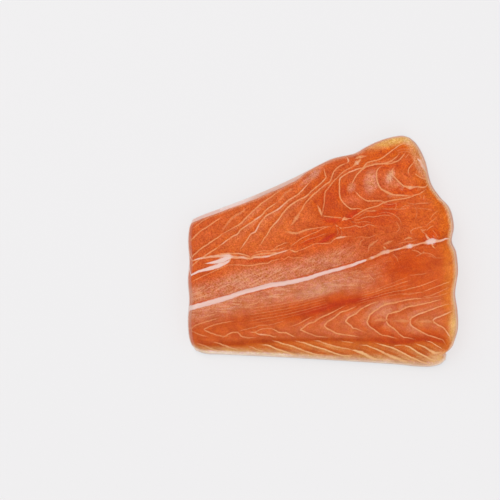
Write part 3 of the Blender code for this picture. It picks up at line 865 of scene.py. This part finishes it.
class Graph:
    """The nodes of one material."""

    def __init__(self, name: str) -> None:
        """Starts a material that holds only its shader and output.

        Args:
            name: The material's name.
        """
        self.material = bpy.data.materials.new(name)
        self.material.use_nodes = True
        self.tree = self.material.node_tree
        self.shader = self.tree.nodes["Principled BSDF"]

    def node(self, kind: str, settings: dict, inputs: dict, output: int | str = 0) -> Value:
        """Adds a node.

        Args:
            kind: Its type, without the ShaderNode in front.
            settings: Its own settings, which are set first.
            inputs: Values or links of its sockets, by number or name.
            output: The socket that is returned, by number or name.

        Returns:
            The chosen output.
        """
        made = self.tree.nodes.new("ShaderNode" + kind)
        for name, setting in settings.items():
            setattr(made, name, setting)
        self.feed(made, inputs)
        return Value(self, made.outputs[output])

    def feed(self, node: bpy.types.Node, inputs: dict) -> None:
        """Links or sets input sockets of a node."""
        for name, given in inputs.items():
            if isinstance(given, Value):
                self.tree.links.new(given.socket, node.inputs[name])
            else:
                node.inputs[name].default_value = given

    def attribute(self, name: str, output: str = "Vector") -> Value:
        """Reads an attribute of the mesh."""
        return self.node("Attribute", {"attribute_name": name}, {}, output)

    def split(self, vector: Value) -> tuple[Value, Value, Value]:
        """The three numbers of a vector."""
        first = self.node("SeparateXYZ", {}, {0: vector})
        return tuple(Value(self, out) for out in first.socket.node.outputs)

    def stretch(self, vector: Value, scale: Triple) -> Value:
        """A vector times a fixed scale along each axis."""
        return self.node("VectorMath", {"operation": "MULTIPLY"}, {0: vector, 1: scale})

    def noise(self, vector: Value, scale: float, detail: float = 3.0,
              distortion: float = 0.0) -> Value:
        """Noise about 0.5 at each place of a vector."""
        inputs = {"Vector": vector, "Scale": scale, "Detail": detail, "Roughness": 0.55,
                  "Distortion": distortion}
        return self.node("TexNoise", {}, inputs)

    def mix(self, colour: Value | Array, *covers: tuple[Value, Value | Array]) -> Value:
        """Lays colours over a first one.

        Args:
            colour: The first colour.
            covers: Pairs of an amount from 0 to 1 and the colour that it brings.

        Returns:
            The first colour with all the others over it.
        """
        for amount, cover in covers:
            first, second = (c if isinstance(c, Value) else (*c, 1.0) for c in (colour, cover))
            settings = {"data_type": "RGBA", "clamp_factor": True}
            colour = self.node("Mix", settings, {0: amount, 6: first, 7: second}, 2)
        return colour

    def shade(self, colour: Value, amount: Value, spread: Triple) -> Value:
        """Brightens a colour where the amount is above 0, each channel by its own spread."""
        change = self.node("VectorMath", {"operation": "SCALE"}, {0: spread, "Scale": amount})
        inputs = {0: colour, 1: change, 2: colour}
        return self.node("VectorMath", {"operation": "MULTIPLY_ADD"}, inputs)

    def bump(self, height: Value, distance: float, strength: float) -> Value:
        """A normal from heights, with the given rise in metres."""
        inputs = {"Height": height, "Distance": distance, "Strength": strength}
        return self.node("Bump", {}, inputs)

    def finish(self, **sockets: "Value | float | Sequence[float]") -> bpy.types.Material:
        """Feeds the shader's own sockets, with underscores for spaces in their names."""
        self.feed(self.shader, {name.replace("_", " "): given for name, given in sockets.items()})
        return self.material


@dataclass(frozen=True)
class Grain:
    """Noise about 0 on a surface.

    Attributes:
        strength: How far it swings.
        scale: How many lumps go to a millimetre.
        detail: How many finer layers lie over them.
        distortion: How much they are twisted.
    """

    strength: float
    scale: float
    detail: float = 3.0
    distortion: float = 0.0

    def read(self, graph: Graph, flow: Value) -> Value:
        """The noise at each place of the surface."""
        noise_there = graph.noise(flow, self.scale, self.detail, self.distortion)
        return (noise_there - 0.5) * self.strength


def pigment(light: Array) -> Array:
    """The linear colour that, under a wet surface in this studio, shows as the given one."""
    return np.clip((light - 0.018) / 0.97, 0.002, 1)


@dataclass(frozen=True)
class FleshPaint:
    """The broad colours of the flesh, as a screen shows them, before its strands and fibres."""

    body: Colour = (205, 92, 47)
    lower_left: Colour = (201, 93, 49)
    chevron_zone: Colour = (206, 104, 62)
    haze: Colour = (206, 129, 96)
    # Painted shade on the slope below the midline.
    dark_band: Colour = (185, 64, 25)
    # Painted shade in the crease.
    crease: Colour = (177, 72, 28)
    strip: Colour = (201, 104, 48)
    strip_glow: Colour = (224, 164, 106)
    strip_tan: Colour = (214, 153, 100)
    belly_rim: Colour = (222, 138, 96)
    amber: Colour = (207, 101, 39)
    cut_rim: Colour = (232, 174, 124)
    wall: Colour = (240, 196, 160)
    deep_wall: Colour = (216, 122, 82)
    cream: Colour = (252, 228, 206)
    glow: Colour = (218, 138, 102)
    # Painted shade, for the dark side of flakes and along the crease.
    painted_shade: Colour = (190, 68, 27)

    def haze_mask(self, x: Array, y: Array) -> Array:
        """Where the flesh is paler and pinkish tan on both sides of the midline, most towards the
        tail, and clouded with pale fibres.
        """
        off = y - smooth_value(FORM.midline, x)
        above = ease(0.6, 1.8, off) * (1 - ease(6.5, 12.0, off)) * (1 - ease(-2, 30, x))
        wider = 5 * ease(0, 22, x)
        below = ease(0.2, 1.6 + wider, -off) * (1 - ease(4.5 + wider, 12.5 + wider, -off))
        below *= 1 - ease(12, 42, x)
        return above + below

    def strip_mask(self, x: Array, y: Array) -> Array:
        """1 on the strip between the crease and the back edge, 0 elsewhere."""
        return ease(-0.3, 1.2, smooth_value(FORM.crease, x) - y)

    def colours(self, places: Array, edges: dict[str, Array], down: Array,
                glow: Array) -> Array:
        """Paints the flesh.

        Args:
            places: Rows of x and y on the cut face.
            edges: Distances from the "back" edge, the "belly" edge and the "wide" cut.
            down: How far down the sides a point is, from 0 at the cut face to 1 at the foot.
            glow: How much the flesh pales beside a strand, or darkens it with painted shade where
                below 0.

        Returns:
            Linear colours, one row for each place.
        """
        x, y = places.T
        under_dark = smooth_value(FORM.dark_band, x) - y
        under_crease = smooth_value(FORM.crease, x) - y
        in_strip = self.strip_mask(x, y)
        crease_drop = 1.0 - 0.8 * ease(-60, 10, x)
        crease_reach = 1.5 - 0.5 * ease(-60, 0, x)
        darkest = 0.15 + 0.85 * ease(-30, 0, x)
        by_wide = 1 - ease(3, 12, edges["wide"])
        by_back = 1 - ease(1, 4, edges["back"])
        tan_reach = 1.8 - 0.95 * bell(x - 1, 14)
        cloud = 0.75 + 0.25 * wobble(places, 4.0, 21.0)
        high = 1 - 0.7 * ease(0.06, 0.4, down)
        layers = [
            (self.lower_left, ease(-8, 2, under_dark) * (1 - ease(-20, 10, x))),
            (self.chevron_zone, ease(2, 7, under_dark) * ease(-45, -5, x)),
            (self.haze, cloud * self.haze_mask(x, y)),
            *((stain.colour, stain.mask(places)) for stain in STAINS),
            # Painted shade along the dark band.
            (self.dark_band, darkest * bell(under_dark, 3.2 - 1.8 * ease(2, 24, x))
             * (1 - ease(20, 48, x))),
            (self.strip, 0.85 * in_strip),
            (self.glow, 0.8 * glow * (1 - in_strip)),
            (self.strip_glow, 0.9 * glow * in_strip),
            # Painted shade on the dark side of each flake.
            (self.painted_shade, -0.65 * glow),
            # Painted shade in the crease and, towards the wide cut, along it.
            (self.crease, 0.85 * bell(under_crease - crease_drop, crease_reach)),
            (self.painted_shade, 0.7 * bell(under_crease + 0.6, 2.2) * ease(14, 30, x)),
            (self.strip_tan, 0.75 * (1 - ease(tan_reach, tan_reach * 2.7, edges["back"]))),
            (self.belly_rim, 0.6 * (1 - ease(0.3, 1.6, edges["belly"]))),
            (self.amber, 0.8 * (1 - ease(2.5, 8.0, edges["wide"]))),
            *((stain.colour, stain.mask(places) * high) for stain in GOLDS),
            (self.cut_rim, 0.8 * (1 - ease(0.2, 2.0, edges["wide"]))),
            (self.cream, 0.8 * (1 - ease(0.4, 1.9, edges["back"])) * (1 - 0.6 * ease(-30, 0, x))),
            (self.cream, 0.8 * by_back * ease(0.05, 0.5, down)),
            (self.wall, 0.75 * by_wide * ease(0.02, 0.15, down)),
            (self.deep_wall, (1 - by_back) * (0.5 * (1 - by_wide) * ease(0.1, 0.6, down)
                                              + 0.85 * by_wide * ease(0.12, 0.34, down))),
            (self.cream, 0.9 * ease(0.85 - 0.15 * by_back, 0.97, down)),
        ]
        painted = linear(self.body)
        for colour, amount in layers:
            painted = painted + (linear(colour) - painted) * np.clip(amount, 0, 1)[:, None]
        return pigment(painted)


@dataclass(frozen=True)
class FleshFinish:
    """Moist raw muscle: painted colours, white strands, fibres and a wet surface."""

    thin_fat: Colour = (230, 157, 107)
    fat: Colour = (233, 199, 189)
    strip_fat: Colour = (236, 182, 130)
    pale_fibre: Colour = (228, 168, 130)
    spread: Triple = (0.27, 0.45, 0.6)
    grit_spread: Triple = (0.21, 0.43, 0.8)
    tinge_spread: Triple = (0.0, 0.25, -0.7)
    roughness: float = 0.42
    stray: Grain = Grain(1.0, 1.3)
    fuzz: Grain = Grain(0.7, 2.2)
    tinge: Grain = Grain(1.0, 0.55, 1.0, 0.4)
    grits: Sequence[Grain] = (Grain(2.0, 2.0), Grain(1.4, 0.9, 2.0, 0.6), Grain(2.4, 1.7, 0.0))

    def border(self, across: Value) -> Value:
        """How much darker the flesh is just outside a strand."""
        squared = across * across
        return (squared * -0.16).exp() - (squared * -0.7).exp()

    def material(self) -> bpy.types.Material:
        """Builds the material, which reads the attributes tint, strand, flow and cover."""
        g = Graph("raw salmon flesh")
        shown = (self.thin_fat, self.fat, self.strip_fat, self.pale_fibre)
        thin_fat, thick_fat, strip_fat, pale_fibre = (pigment(linear(look)) for look in shown)
        across, near, fat = g.split(g.attribute("strand"))
        haze, fibre, strip = g.split(g.attribute("cover"))
        flow = g.attribute("flow")
        along, off_back, sunk = g.split(flow)
        shaken = across + self.stray.read(g, flow) * (fat * -1.3 + 2.3)
        squared = shaken * shaken
        line = (squared * squared * -2.2).exp() * near
        strand = (line * fat * (g.noise(flow, 0.6, 2.0) * 1.4 + 0.35)).least(1.0)
        border = self.border(shaken) * near * fat.least(2.0 - fat) * 0.45
        upper = (off_back - along * 0.29 - 20.0).step(-5.0, 7.0) * (1 - sunk.step(1.5, 4.0))
        fibres = fibre * (haze * 0.07 + upper * 0.03 + 0.05) + 0.5 + self.fuzz.read(g, flow)
        fine = g.noise(g.stretch(flow, (0.6, 2.4, 2.0)), 1.6, 4.0, 0.2)
        mottle = g.noise(flow, 0.2, 4.0, 0.3)
        ground = g.shade(g.attribute("tint", "Color"), (mottle - 0.5) * 2.4 - border, self.spread)
        ground = g.shade(ground, self.tinge.read(g, flow), self.tinge_spread)
        grit = sum(grain.read(g, flow) for grain in self.grits) * (upper * 0.65 + 0.45)
        detail = (fibres - 0.5) * 1.6 + (fine - 0.5) * 1.2 + grit
        ground = g.shade(ground, detail, self.grit_spread)
        clouded = fibres.step(0.48, 0.7) * (haze * 0.4 + 0.04)
        white = g.mix(thin_fat, (fat.step(0.85, 1.45), thick_fat), (strip, strip_fat))
        colour = g.mix(ground, (clouded, pale_fibre), (strand, white))
        height = fibres * (haze * 0.4 + 0.3) + fine * 0.4 + strand * 0.35 + mottle * 0.4
        rough = self.roughness + (fine - 0.5) * 0.25 + strand * 0.06
        return g.finish(Base_Color=colour, Roughness=rough, Normal=g.bump(height, 0.0003, 0.4),
                        Specular_IOR_Level=0.15, Coat_Weight=0.04, Coat_Roughness=0.15,
                        Subsurface_Weight=0.05, Subsurface_Radius=(1.0, 0.35, 0.15),
                        Subsurface_Scale=0.001)


@dataclass(frozen=True)
class SkinFinish:
    """Silvery scaled skin below, darker towards the back, with a white inner face."""

    silver: Colour = (196, 200, 204)
    slate: Colour = (70, 78, 84)
    shine: Colour = (232, 236, 238)
    spot: Colour = (38, 40, 42)
    edge: Colour = (250, 230, 220)
    membrane: Colour = (242, 224, 219)
    blush: Colour = (226, 194, 180)
    veil: Colour = (226, 214, 206)
    scales_per_mm: Triple = (0.52, 0.42, 0.0)
    drift: Grain = Grain(22.0, 0.09)

    def material(self) -> bpy.types.Material:
        """Builds the material, which reads the attributes flow and cover."""
        g = Graph("salmon skin")
        slate = linear(self.slate)
        side, inner, _ = g.split(g.attribute("cover"))
        flow = g.attribute("flow")
        along, across, _ = g.split(flow)
        cells = {"Vector": g.stretch(flow, self.scales_per_mm), "Scale": 1.0, "Randomness": 0.35}
        to_edge = g.node("TexVoronoi", {"feature": "DISTANCE_TO_EDGE"}, cells)
        grey, _, _ = g.split(g.node("TexVoronoi", {"feature": "F1"}, cells, "Color"))
        back = 1 - (across + self.drift.read(g, flow)).step(14.0, 48.0)
        spots = g.noise(flow, 0.17, 1.0).step(0.68, 0.72) * back
        outer = g.mix(linear(self.silver), (back, slate), (grey * 0.35, linear(self.shine)),
                      ((1 - to_edge.step(0.02, 0.14)) * 0.45, slate),
                      (spots * 0.85, linear(self.spot)))
        blushed = along.step(27.0, 38.0) * across.step(20.0, 40.0)
        white = g.mix(linear(self.membrane), (blushed, linear(self.blush)),
                      ((g.noise(flow, 0.8) - 0.3) * 0.6, linear(self.veil)))
        colour = g.mix(outer, (side, linear(self.edge)), (inner, white))
        height = to_edge.step(0.0, 0.3) * (1 - inner)
        return g.finish(Base_Color=colour, Metallic=(1 - inner) * (1 - side) * 0.45,
                        Roughness=0.3 + inner * 0.1, Normal=g.bump(height, 0.0004, 0.5),
                        Coat_Weight=0.4, Coat_Roughness=0.15)


@dataclass(frozen=True)
class FloorFinish:
    """A plain pale light table, whose own faint glow softens the shadows."""

    colour: Colour = (238, 237, 238)
    glow: float = 0.7

    def material(self) -> bpy.types.Material:
        """Builds the material."""
        light = linear(self.colour)
        return Graph("pale floor").finish(Base_Color=(*light * (1 - self.glow), 1), Roughness=0.6,
                                          Specular_IOR_Level=0.2, Emission_Strength=self.glow,
                                          Emission_Color=(*light, 1))


class Kind(Enum):
    """What an attribute's numbers stand for: its type and the key of its data."""

    VECTOR = ("FLOAT_VECTOR", "vector")
    COLOUR = ("FLOAT_COLOR", "color")


@dataclass
class Sheet:
    """A grid over the fillet's plan whose border is extruded into closed rings."""

    name: str
    columns: int
    rows: int
    rings: int
    edge_cells: int = 9
    cut_reach: float = 2.6
    long_reach: float = 3.6
    mean_width: float = 86.0

    def model(self) -> bpy.types.Object:
        """Adds the grid and its rings, each a step further down, and closes the last ring."""
        bpy.ops.object.select_all(action="DESELECT")
        bpy.ops.mesh.primitive_grid_add(x_subdivisions=self.columns, y_subdivisions=self.rows,
                                        size=1, location=(0.5, 0.5, 0))
        bpy.ops.object.transform_apply(location=True, rotation=True, scale=True)
        bpy.ops.object.mode_set(mode="EDIT")
        bpy.ops.mesh.select_mode(type="EDGE")
        bpy.ops.mesh.select_all(action="DESELECT")
        bpy.ops.mesh.select_non_manifold()
        for _ in range(self.rings):
            bpy.ops.mesh.extrude_edges_move(TRANSFORM_OT_translate={"value": (0, 0, -1)})
        bpy.ops.mesh.edge_face_add()
        bpy.ops.object.mode_set(mode="OBJECT")
        piece = bpy.context.object
        piece.name = piece.data.name = self.name
        return piece

    def stations(self, cells: int, length: float, reach: float) -> Array:
        """Places from 0 to 1 along a length, closer together where both edges turn down."""
        turn = np.linspace(0, math.pi / 2, self.edge_cells + 1)
        near = reach * (1 - np.cos(turn))
        between = np.linspace(reach, length - reach, cells - 2 * self.edge_cells + 1)[1:-1]
        return np.concatenate([near, between, length - near[::-1]]) / length

    def places(self, piece: bpy.types.Object) -> tuple[Array, Array, Array]:
        """Reads the plan back from the mesh.

        Args:
            piece: What model() returned, before its points are moved.

        Returns:
            u and v of each point, with the edges packed closer, and the number of its ring.
        """
        flat = np.empty(len(piece.data.vertices) * 3)
        piece.data.vertices.foreach_get("co", flat)
        cells = np.round(flat.reshape(-1, 3) * (self.columns, self.rows, -1)).astype(int)
        u_places = self.stations(self.columns, FORM.length, self.cut_reach)
        v_places = self.stations(self.rows, self.mean_width, self.long_reach)
        return u_places[cells[:, 0]], v_places[cells[:, 1]], cells[:, 2]

    def place(self, piece: bpy.types.Object, points: Array, shift: Array) -> None:
        """Moves the points of the mesh to places in millimetres and turns its faces outwards."""
        piece.data.vertices.foreach_set("co", ((points + shift) * MM).ravel())
        bpy.ops.object.select_all(action="DESELECT")
        piece.select_set(True)
        bpy.context.view_layer.objects.active = piece
        bpy.ops.object.mode_set(mode="EDIT")
        bpy.ops.mesh.select_all(action="SELECT")
        bpy.ops.mesh.normals_make_consistent(inside=False)
        bpy.ops.object.mode_set(mode="OBJECT")
        bpy.ops.object.shade_smooth_by_angle(angle=math.radians(60))


def store(piece: bpy.types.Object, name: str, *columns: Array, kind: Kind = Kind.VECTOR) -> None:
    """Stores numbers for each point of a mesh.

    Args:
        piece: The object whose mesh gets them.
        name: The attribute's name.
        columns: Its numbers for all points, column by column or several columns at once.
        kind: What they stand for.
    """
    type_name, key = kind.value
    layer = piece.data.attributes.new(name, type_name, "POINT")
    layer.data.foreach_set(key, np.column_stack(columns).astype(float).ravel())


@dataclass
class Flesh:
    """The muscle, from its cut face down its sides to the foot that fits the skin."""

    sheet: Sheet = field(default_factory=lambda: Sheet("salmon_flesh", 330, 250, 10))
    wall_rings: int = 8
    foot_inset: float = 0.35
    foot_gap: float = 0.06
    cut_inset: float = 1.6
    edge_inset: float = 1.0
    bare_foot_inset: float = 2.3
    bare_edge_inset: float = 2.6
    bare_end: float = 0.45
    bare_fade: float = 0.09
    fold: float = 0.8
    bulge: float = 0.5
    waviness: float = 1.4
    back_rounding: Point = (0.45, 4.0)
    belly_rounding: Point = (0.4, 3.0)
    cut_drop: float = 2.2
    cut_reach: float = 2.6
    fine_reach: float = 5.0
    swell: float = 0.26
    valley_width: float = 1.1
    roughness_height: float = 0.06
    roughness_lump: float = 1.6
    trim: float = 0.25

    def bare(self, s: Array, edge: float, bare: float) -> Array:
        """An inset from the belly edge, wider where the rim of the skin lies bare."""
        return bare + (edge - bare) * ease(self.bare_end, self.bare_end + self.bare_fade, s)

    def foot(self, s: Array, t: Array) -> Array:
        """Height of the flesh's underside above the table."""
        return FORM.skin_thickness + self.foot_gap + FORM.lift(s, t)

    def top(self, u: Array, v: Array, read: dict[str, Array], s: Array, t: Array) -> Array:
        """Height of the cut face above the table.

        Args:
            u: Place along the cut face itself, from 0 to 1.
            v: Place across the cut face itself, from 0 to 1.
            read: What the strand field says at these places.
            s: The same place along the whole outline.
            t: The same place across the whole outline.

        Returns:
            The heights.
        """
        xy, width, body = FORM.plan(s, t), FORM.width(s), FORM.body(s, t)
        to_back, to_belly = v * width, (1 - v) * width
        to_cut = np.minimum(u, 1 - u) * FORM.length
        sides = rounded(to_back, *self.back_rounding) * rounded(to_belly, *self.belly_rounding)
        drop = np.minimum(self.cut_drop, 0.3 * body) * (1 - round_off(to_cut, self.cut_reach))
        blocks = self.swell * (1 - bell(read["away"], self.valley_width)) * np.sqrt(read["fat"])
        rough = self.roughness_height * wobble(xy, self.roughness_lump, 3.0)
        to_edge = np.minimum.reduce([to_back, to_belly, to_cut])
        fine = (FORM.relief(*xy.T) + blocks + rough) * ease(0, self.fine_reach, to_edge)
        base = FORM.skin_thickness + FORM.skin_gap + FORM.lift(s, t)
        return base + body * sides - drop + fine - self.trim

    def points(self, u: Array, v: Array, ring: Array, top_xy: Array, top_z: Array) -> Array:
        """Finds the points of the cut face, the walls and the underside.

        Args:
            u: Place along the fillet, from 0 to 1.
            v: Place across the fillet, from 0 to 1.
            ring: How many rings a point is below the cut face.
            top_xy: Where the wall that it is on meets the cut face.
            top_z: Height of the cut face there.

        Returns:
            One row of x, y and z for each point, in millimetres.
        """
        bare_inset = self.bare(u, self.foot_inset, self.bare_foot_inset)
        foot_st = FORM.drawn_in(u, v, self.foot_inset, self.foot_inset, bare_inset)
        foot_xy, foot_z = FORM.plan(*foot_st), self.foot(*foot_st)
        down = np.clip(ring / self.wall_rings, 0, 1)
        tall = (top_z - foot_z) / FORM.wide_thickness
        waves = wobble(top_xy + down[:, None] * 4, 5.0, 9.0)
        swell = self.bulge * np.sin(math.pi * down) * tall
        swell += self.waviness * down * (1 - down) * waves
        xy = top_xy + (foot_xy - top_xy) * down[:, None]
        xy += unit(foot_xy - foot_xy.mean(0)) * swell[:, None]
        points = np.column_stack([xy, top_z + (foot_z - top_z) * down])
        for step, distance in enumerate(FORM.curl_distances[1:], self.wall_rings + 1):
            under = ring == step
            st = FORM.drawn_in(u[under], v[under], distance, distance, distance)
            points[under] = np.column_stack([FORM.plan(*st), self.foot(*st)])
        return points

    def build(self, strands: StrandField, fibres: FibreField, shift: Array) -> bpy.types.Object:
        """Models the flesh and stores what its material reads.

        Args:
            strands: The strands of the cut face.
            fibres: The fibres of the muscle.
            shift: The move that centres the fillet over the origin.

        Returns:
            The finished object.
        """
        piece = self.sheet.model()
        u, v, ring = self.sheet.places(piece)
        belly_inset = self.bare(u, self.edge_inset, self.bare_edge_inset)
        top_st = FORM.drawn_in(u, v, self.cut_inset, self.edge_inset, belly_inset)
        body = FORM.body(*top_st)
        down = np.clip(ring / self.wall_rings, 0, 1)
        fold = down * body * self.fold
        seen_s, seen_t = FORM.drawn_in(u, v, self.cut_inset + fold * (1 - 2 * u),
                                       self.edge_inset + fold, belly_inset + fold)
        seen = FORM.plan(seen_s, seen_t)
        read = strands.read(seen)
        top_z = self.top(u, v, read, *top_st)
        self.sheet.place(piece, self.points(u, v, ring, FORM.plan(*top_st), top_z), shift)
        width = FORM.width(u)
        edges = {"back": v * width, "belly": (1 - v) * width, "wide": (1 - u) * FORM.length}
        sunk = body + FORM.skin_thickness + FORM.lift(*top_st) - top_z
        fibre = fibres.read(seen) * (1 - 0.7 * ease(0.6, 2.5, sunk))
        paint = FleshPaint()
        colours = paint.colours(seen, edges, down, read["glow"])
        store(piece, "tint", colours, np.ones(len(seen)), kind=Kind.COLOUR)
        store(piece, "strand", read["across"], read["near"], read["fat"])
        store(piece, "flow", seen_s * FORM.length, seen_t * width, sunk + body * down)
        store(piece, "cover", paint.haze_mask(*seen.T), fibre, paint.strip_mask(*seen.T))
        piece.data.materials.append(FleshFinish().material())
        return piece


@dataclass
class Skin:
    """The skin under the flesh: a scaled outer face, a cut edge and a bare inner rim."""

    sheet: Sheet = field(default_factory=lambda: Sheet("salmon_skin", 230, 180, 5))
    ring_insets: Sequence[float] = (0.12, 0.0, 0.0, 0.3, *FORM.curl_distances[1:])
    ring_rises: Sequence[float] = (0.0, 0.15, 0.65, 1.0, 1.0, 1.0)
    scale_pitch: Point = (2.0, 2.4)
    scale_rise: float = 0.07
    plain_rim: float = 1.5

    def scales(self, x: Array, y: Array) -> Array:
        """How far the overlapping scales stand out from the skin, row behind row."""
        row = x / self.scale_pitch[0]
        tilt = row - np.floor(row)
        shifted = y / self.scale_pitch[1] + 0.5 * (np.floor(row) % 2)
        arc = 2 * (shifted - np.floor(shifted)) - 1
        return self.scale_rise * (1 - tilt) * np.sqrt(1 - arc * arc * 0.8)

    def build(self) -> tuple[bpy.types.Object, Array]:
        """Models the skin and stores what its material reads.

        Returns:
            The finished object, and the move that centres the fillet over the origin.
        """
        piece = self.sheet.model()
        u, v, ring = self.sheet.places(piece)
        inset = np.choose(ring, self.ring_insets)
        s, t = FORM.drawn_in(u, v, inset, inset, inset)
        rise = np.choose(ring, self.ring_rises) * FORM.skin_thickness
        xy, width = FORM.plan(s, t), FORM.width(s)
        outer = ring == 0
        to_edge = np.minimum(np.minimum(v, 1 - v) * width, np.minimum(u, 1 - u) * FORM.length)
        inside = ease(0, self.plain_rim, to_edge) * outer
        height = FORM.lift(s, t) + rise + (self.scale_rise - self.scales(*xy.T) * inside) * inside
        points = np.column_stack([xy, height])
        shift = np.array([*-(xy.min(0) + xy.max(0)) / 2, 0.0])
        self.sheet.place(piece, points, shift)
        store(piece, "flow", s * FORM.length, t * width, rise)
        store(piece, "cover", (ring == 1) | (ring == 2), ring > 2, outer)
        piece.data.materials.append(SkinFinish().material())
        return piece, shift


@dataclass
class Studio:
    """The plain floor, the soft lights and the camera over them."""

    distance: float = 5.0
    focus_height: float = 0.008
    sensor_mm: float = 36.0
    floor_size: float = 3.0
    sky_strength: float = 0.62
    lights: Sequence[tuple] = (("key", (-0.55, 0.75, 1.0), 0.9, 2.9, True),
                               ("fill", (0.5, -0.75, 0.9), 1.0, 2.8, True),
                               ("top", (-0.3, 0.4, 1.8), 1.0, 8.6, False))

    def add_floor(self) -> None:
        """Lays the floor that the fillet rests on."""
        bpy.ops.object.select_all(action="DESELECT")
        bpy.ops.mesh.primitive_plane_add(size=self.floor_size)
        floor = bpy.context.object
        floor.name = "floor"
        floor.data.materials.append(FloorFinish().material())

    def add_light(self, name: str, place: Sequence[float], size: float, watts: float,
                  glossy: bool) -> None:
        """Hangs a square soft light that faces the fillet.

        Args:
            name: The light's name.
            place: Where it hangs, in metres.
            size: Length of its side.
            watts: Its power.
            glossy: Whether wet surfaces mirror it.
        """
        light = bpy.data.lights.new(name, "AREA")
        light.size = size
        light.energy = watts
        lamp = bpy.data.objects.new(name, light)
        lamp.visible_glossy = glossy
        lamp.visible_camera = False
        lamp.location = place
        lamp.rotation_euler = (-Vector(place)).to_track_quat("-Z", "Y").to_euler()
        bpy.context.scene.collection.objects.link(lamp)

    def add_camera(self, shift: Array) -> None:
        """Hangs the camera straight above, framed as the photograph is."""
        middle = (PHOTO.to_mm([PHOTO.middle])[0] + shift[:2]) * MM
        seen = PHOTO.frame_pixels * PHOTO.mm_per_pixel * MM
        camera = bpy.data.cameras.new("camera")
        camera.sensor_width = self.sensor_mm
        camera.lens = self.sensor_mm * (self.distance - self.focus_height) / seen
        camera.clip_end = 10.0
        eye = bpy.data.objects.new("camera", camera)
        eye.location = (*middle, self.distance)
        bpy.context.scene.collection.objects.link(eye)
        bpy.context.scene.camera = eye

    def build(self, shift: Array) -> None:
        """Adds all of it, with an even pale sky.

        Args:
            shift: The move that centres the fillet over the origin.
        """
        self.add_floor()
        for light in self.lights:
            self.add_light(*light)
        world = bpy.data.worlds.new("sky")
        world.use_nodes = True
        sky = world.node_tree.nodes["Background"].inputs
        sky["Color"].default_value = (1, 1, 1, 1)
        sky["Strength"].default_value = self.sky_strength
        bpy.context.scene.world = world
        bpy.context.scene.view_settings.view_transform = "Standard"
        self.add_camera(shift)


def report(piece: bpy.types.Object) -> None:
    """Logs a finished piece and its number of faces."""
    LOG.info("%s: %d faces", piece.name, len(piece.data.polygons))


def main() -> None:
    logging.basicConfig(level=logging.INFO, format="%(name)s %(message)s")
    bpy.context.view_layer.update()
    skin, shift = Skin().build()
    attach(skin, "root")
    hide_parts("skin")
    report(skin)
    strands = StrandField(STRANDS)
    flesh = Flesh().build(strands, FibreField(strands, GUIDES), shift)
    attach(flesh, "root")
    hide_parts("flesh")
    report(flesh)
    Studio().build(shift)


if __name__ == "__main__":
    main()
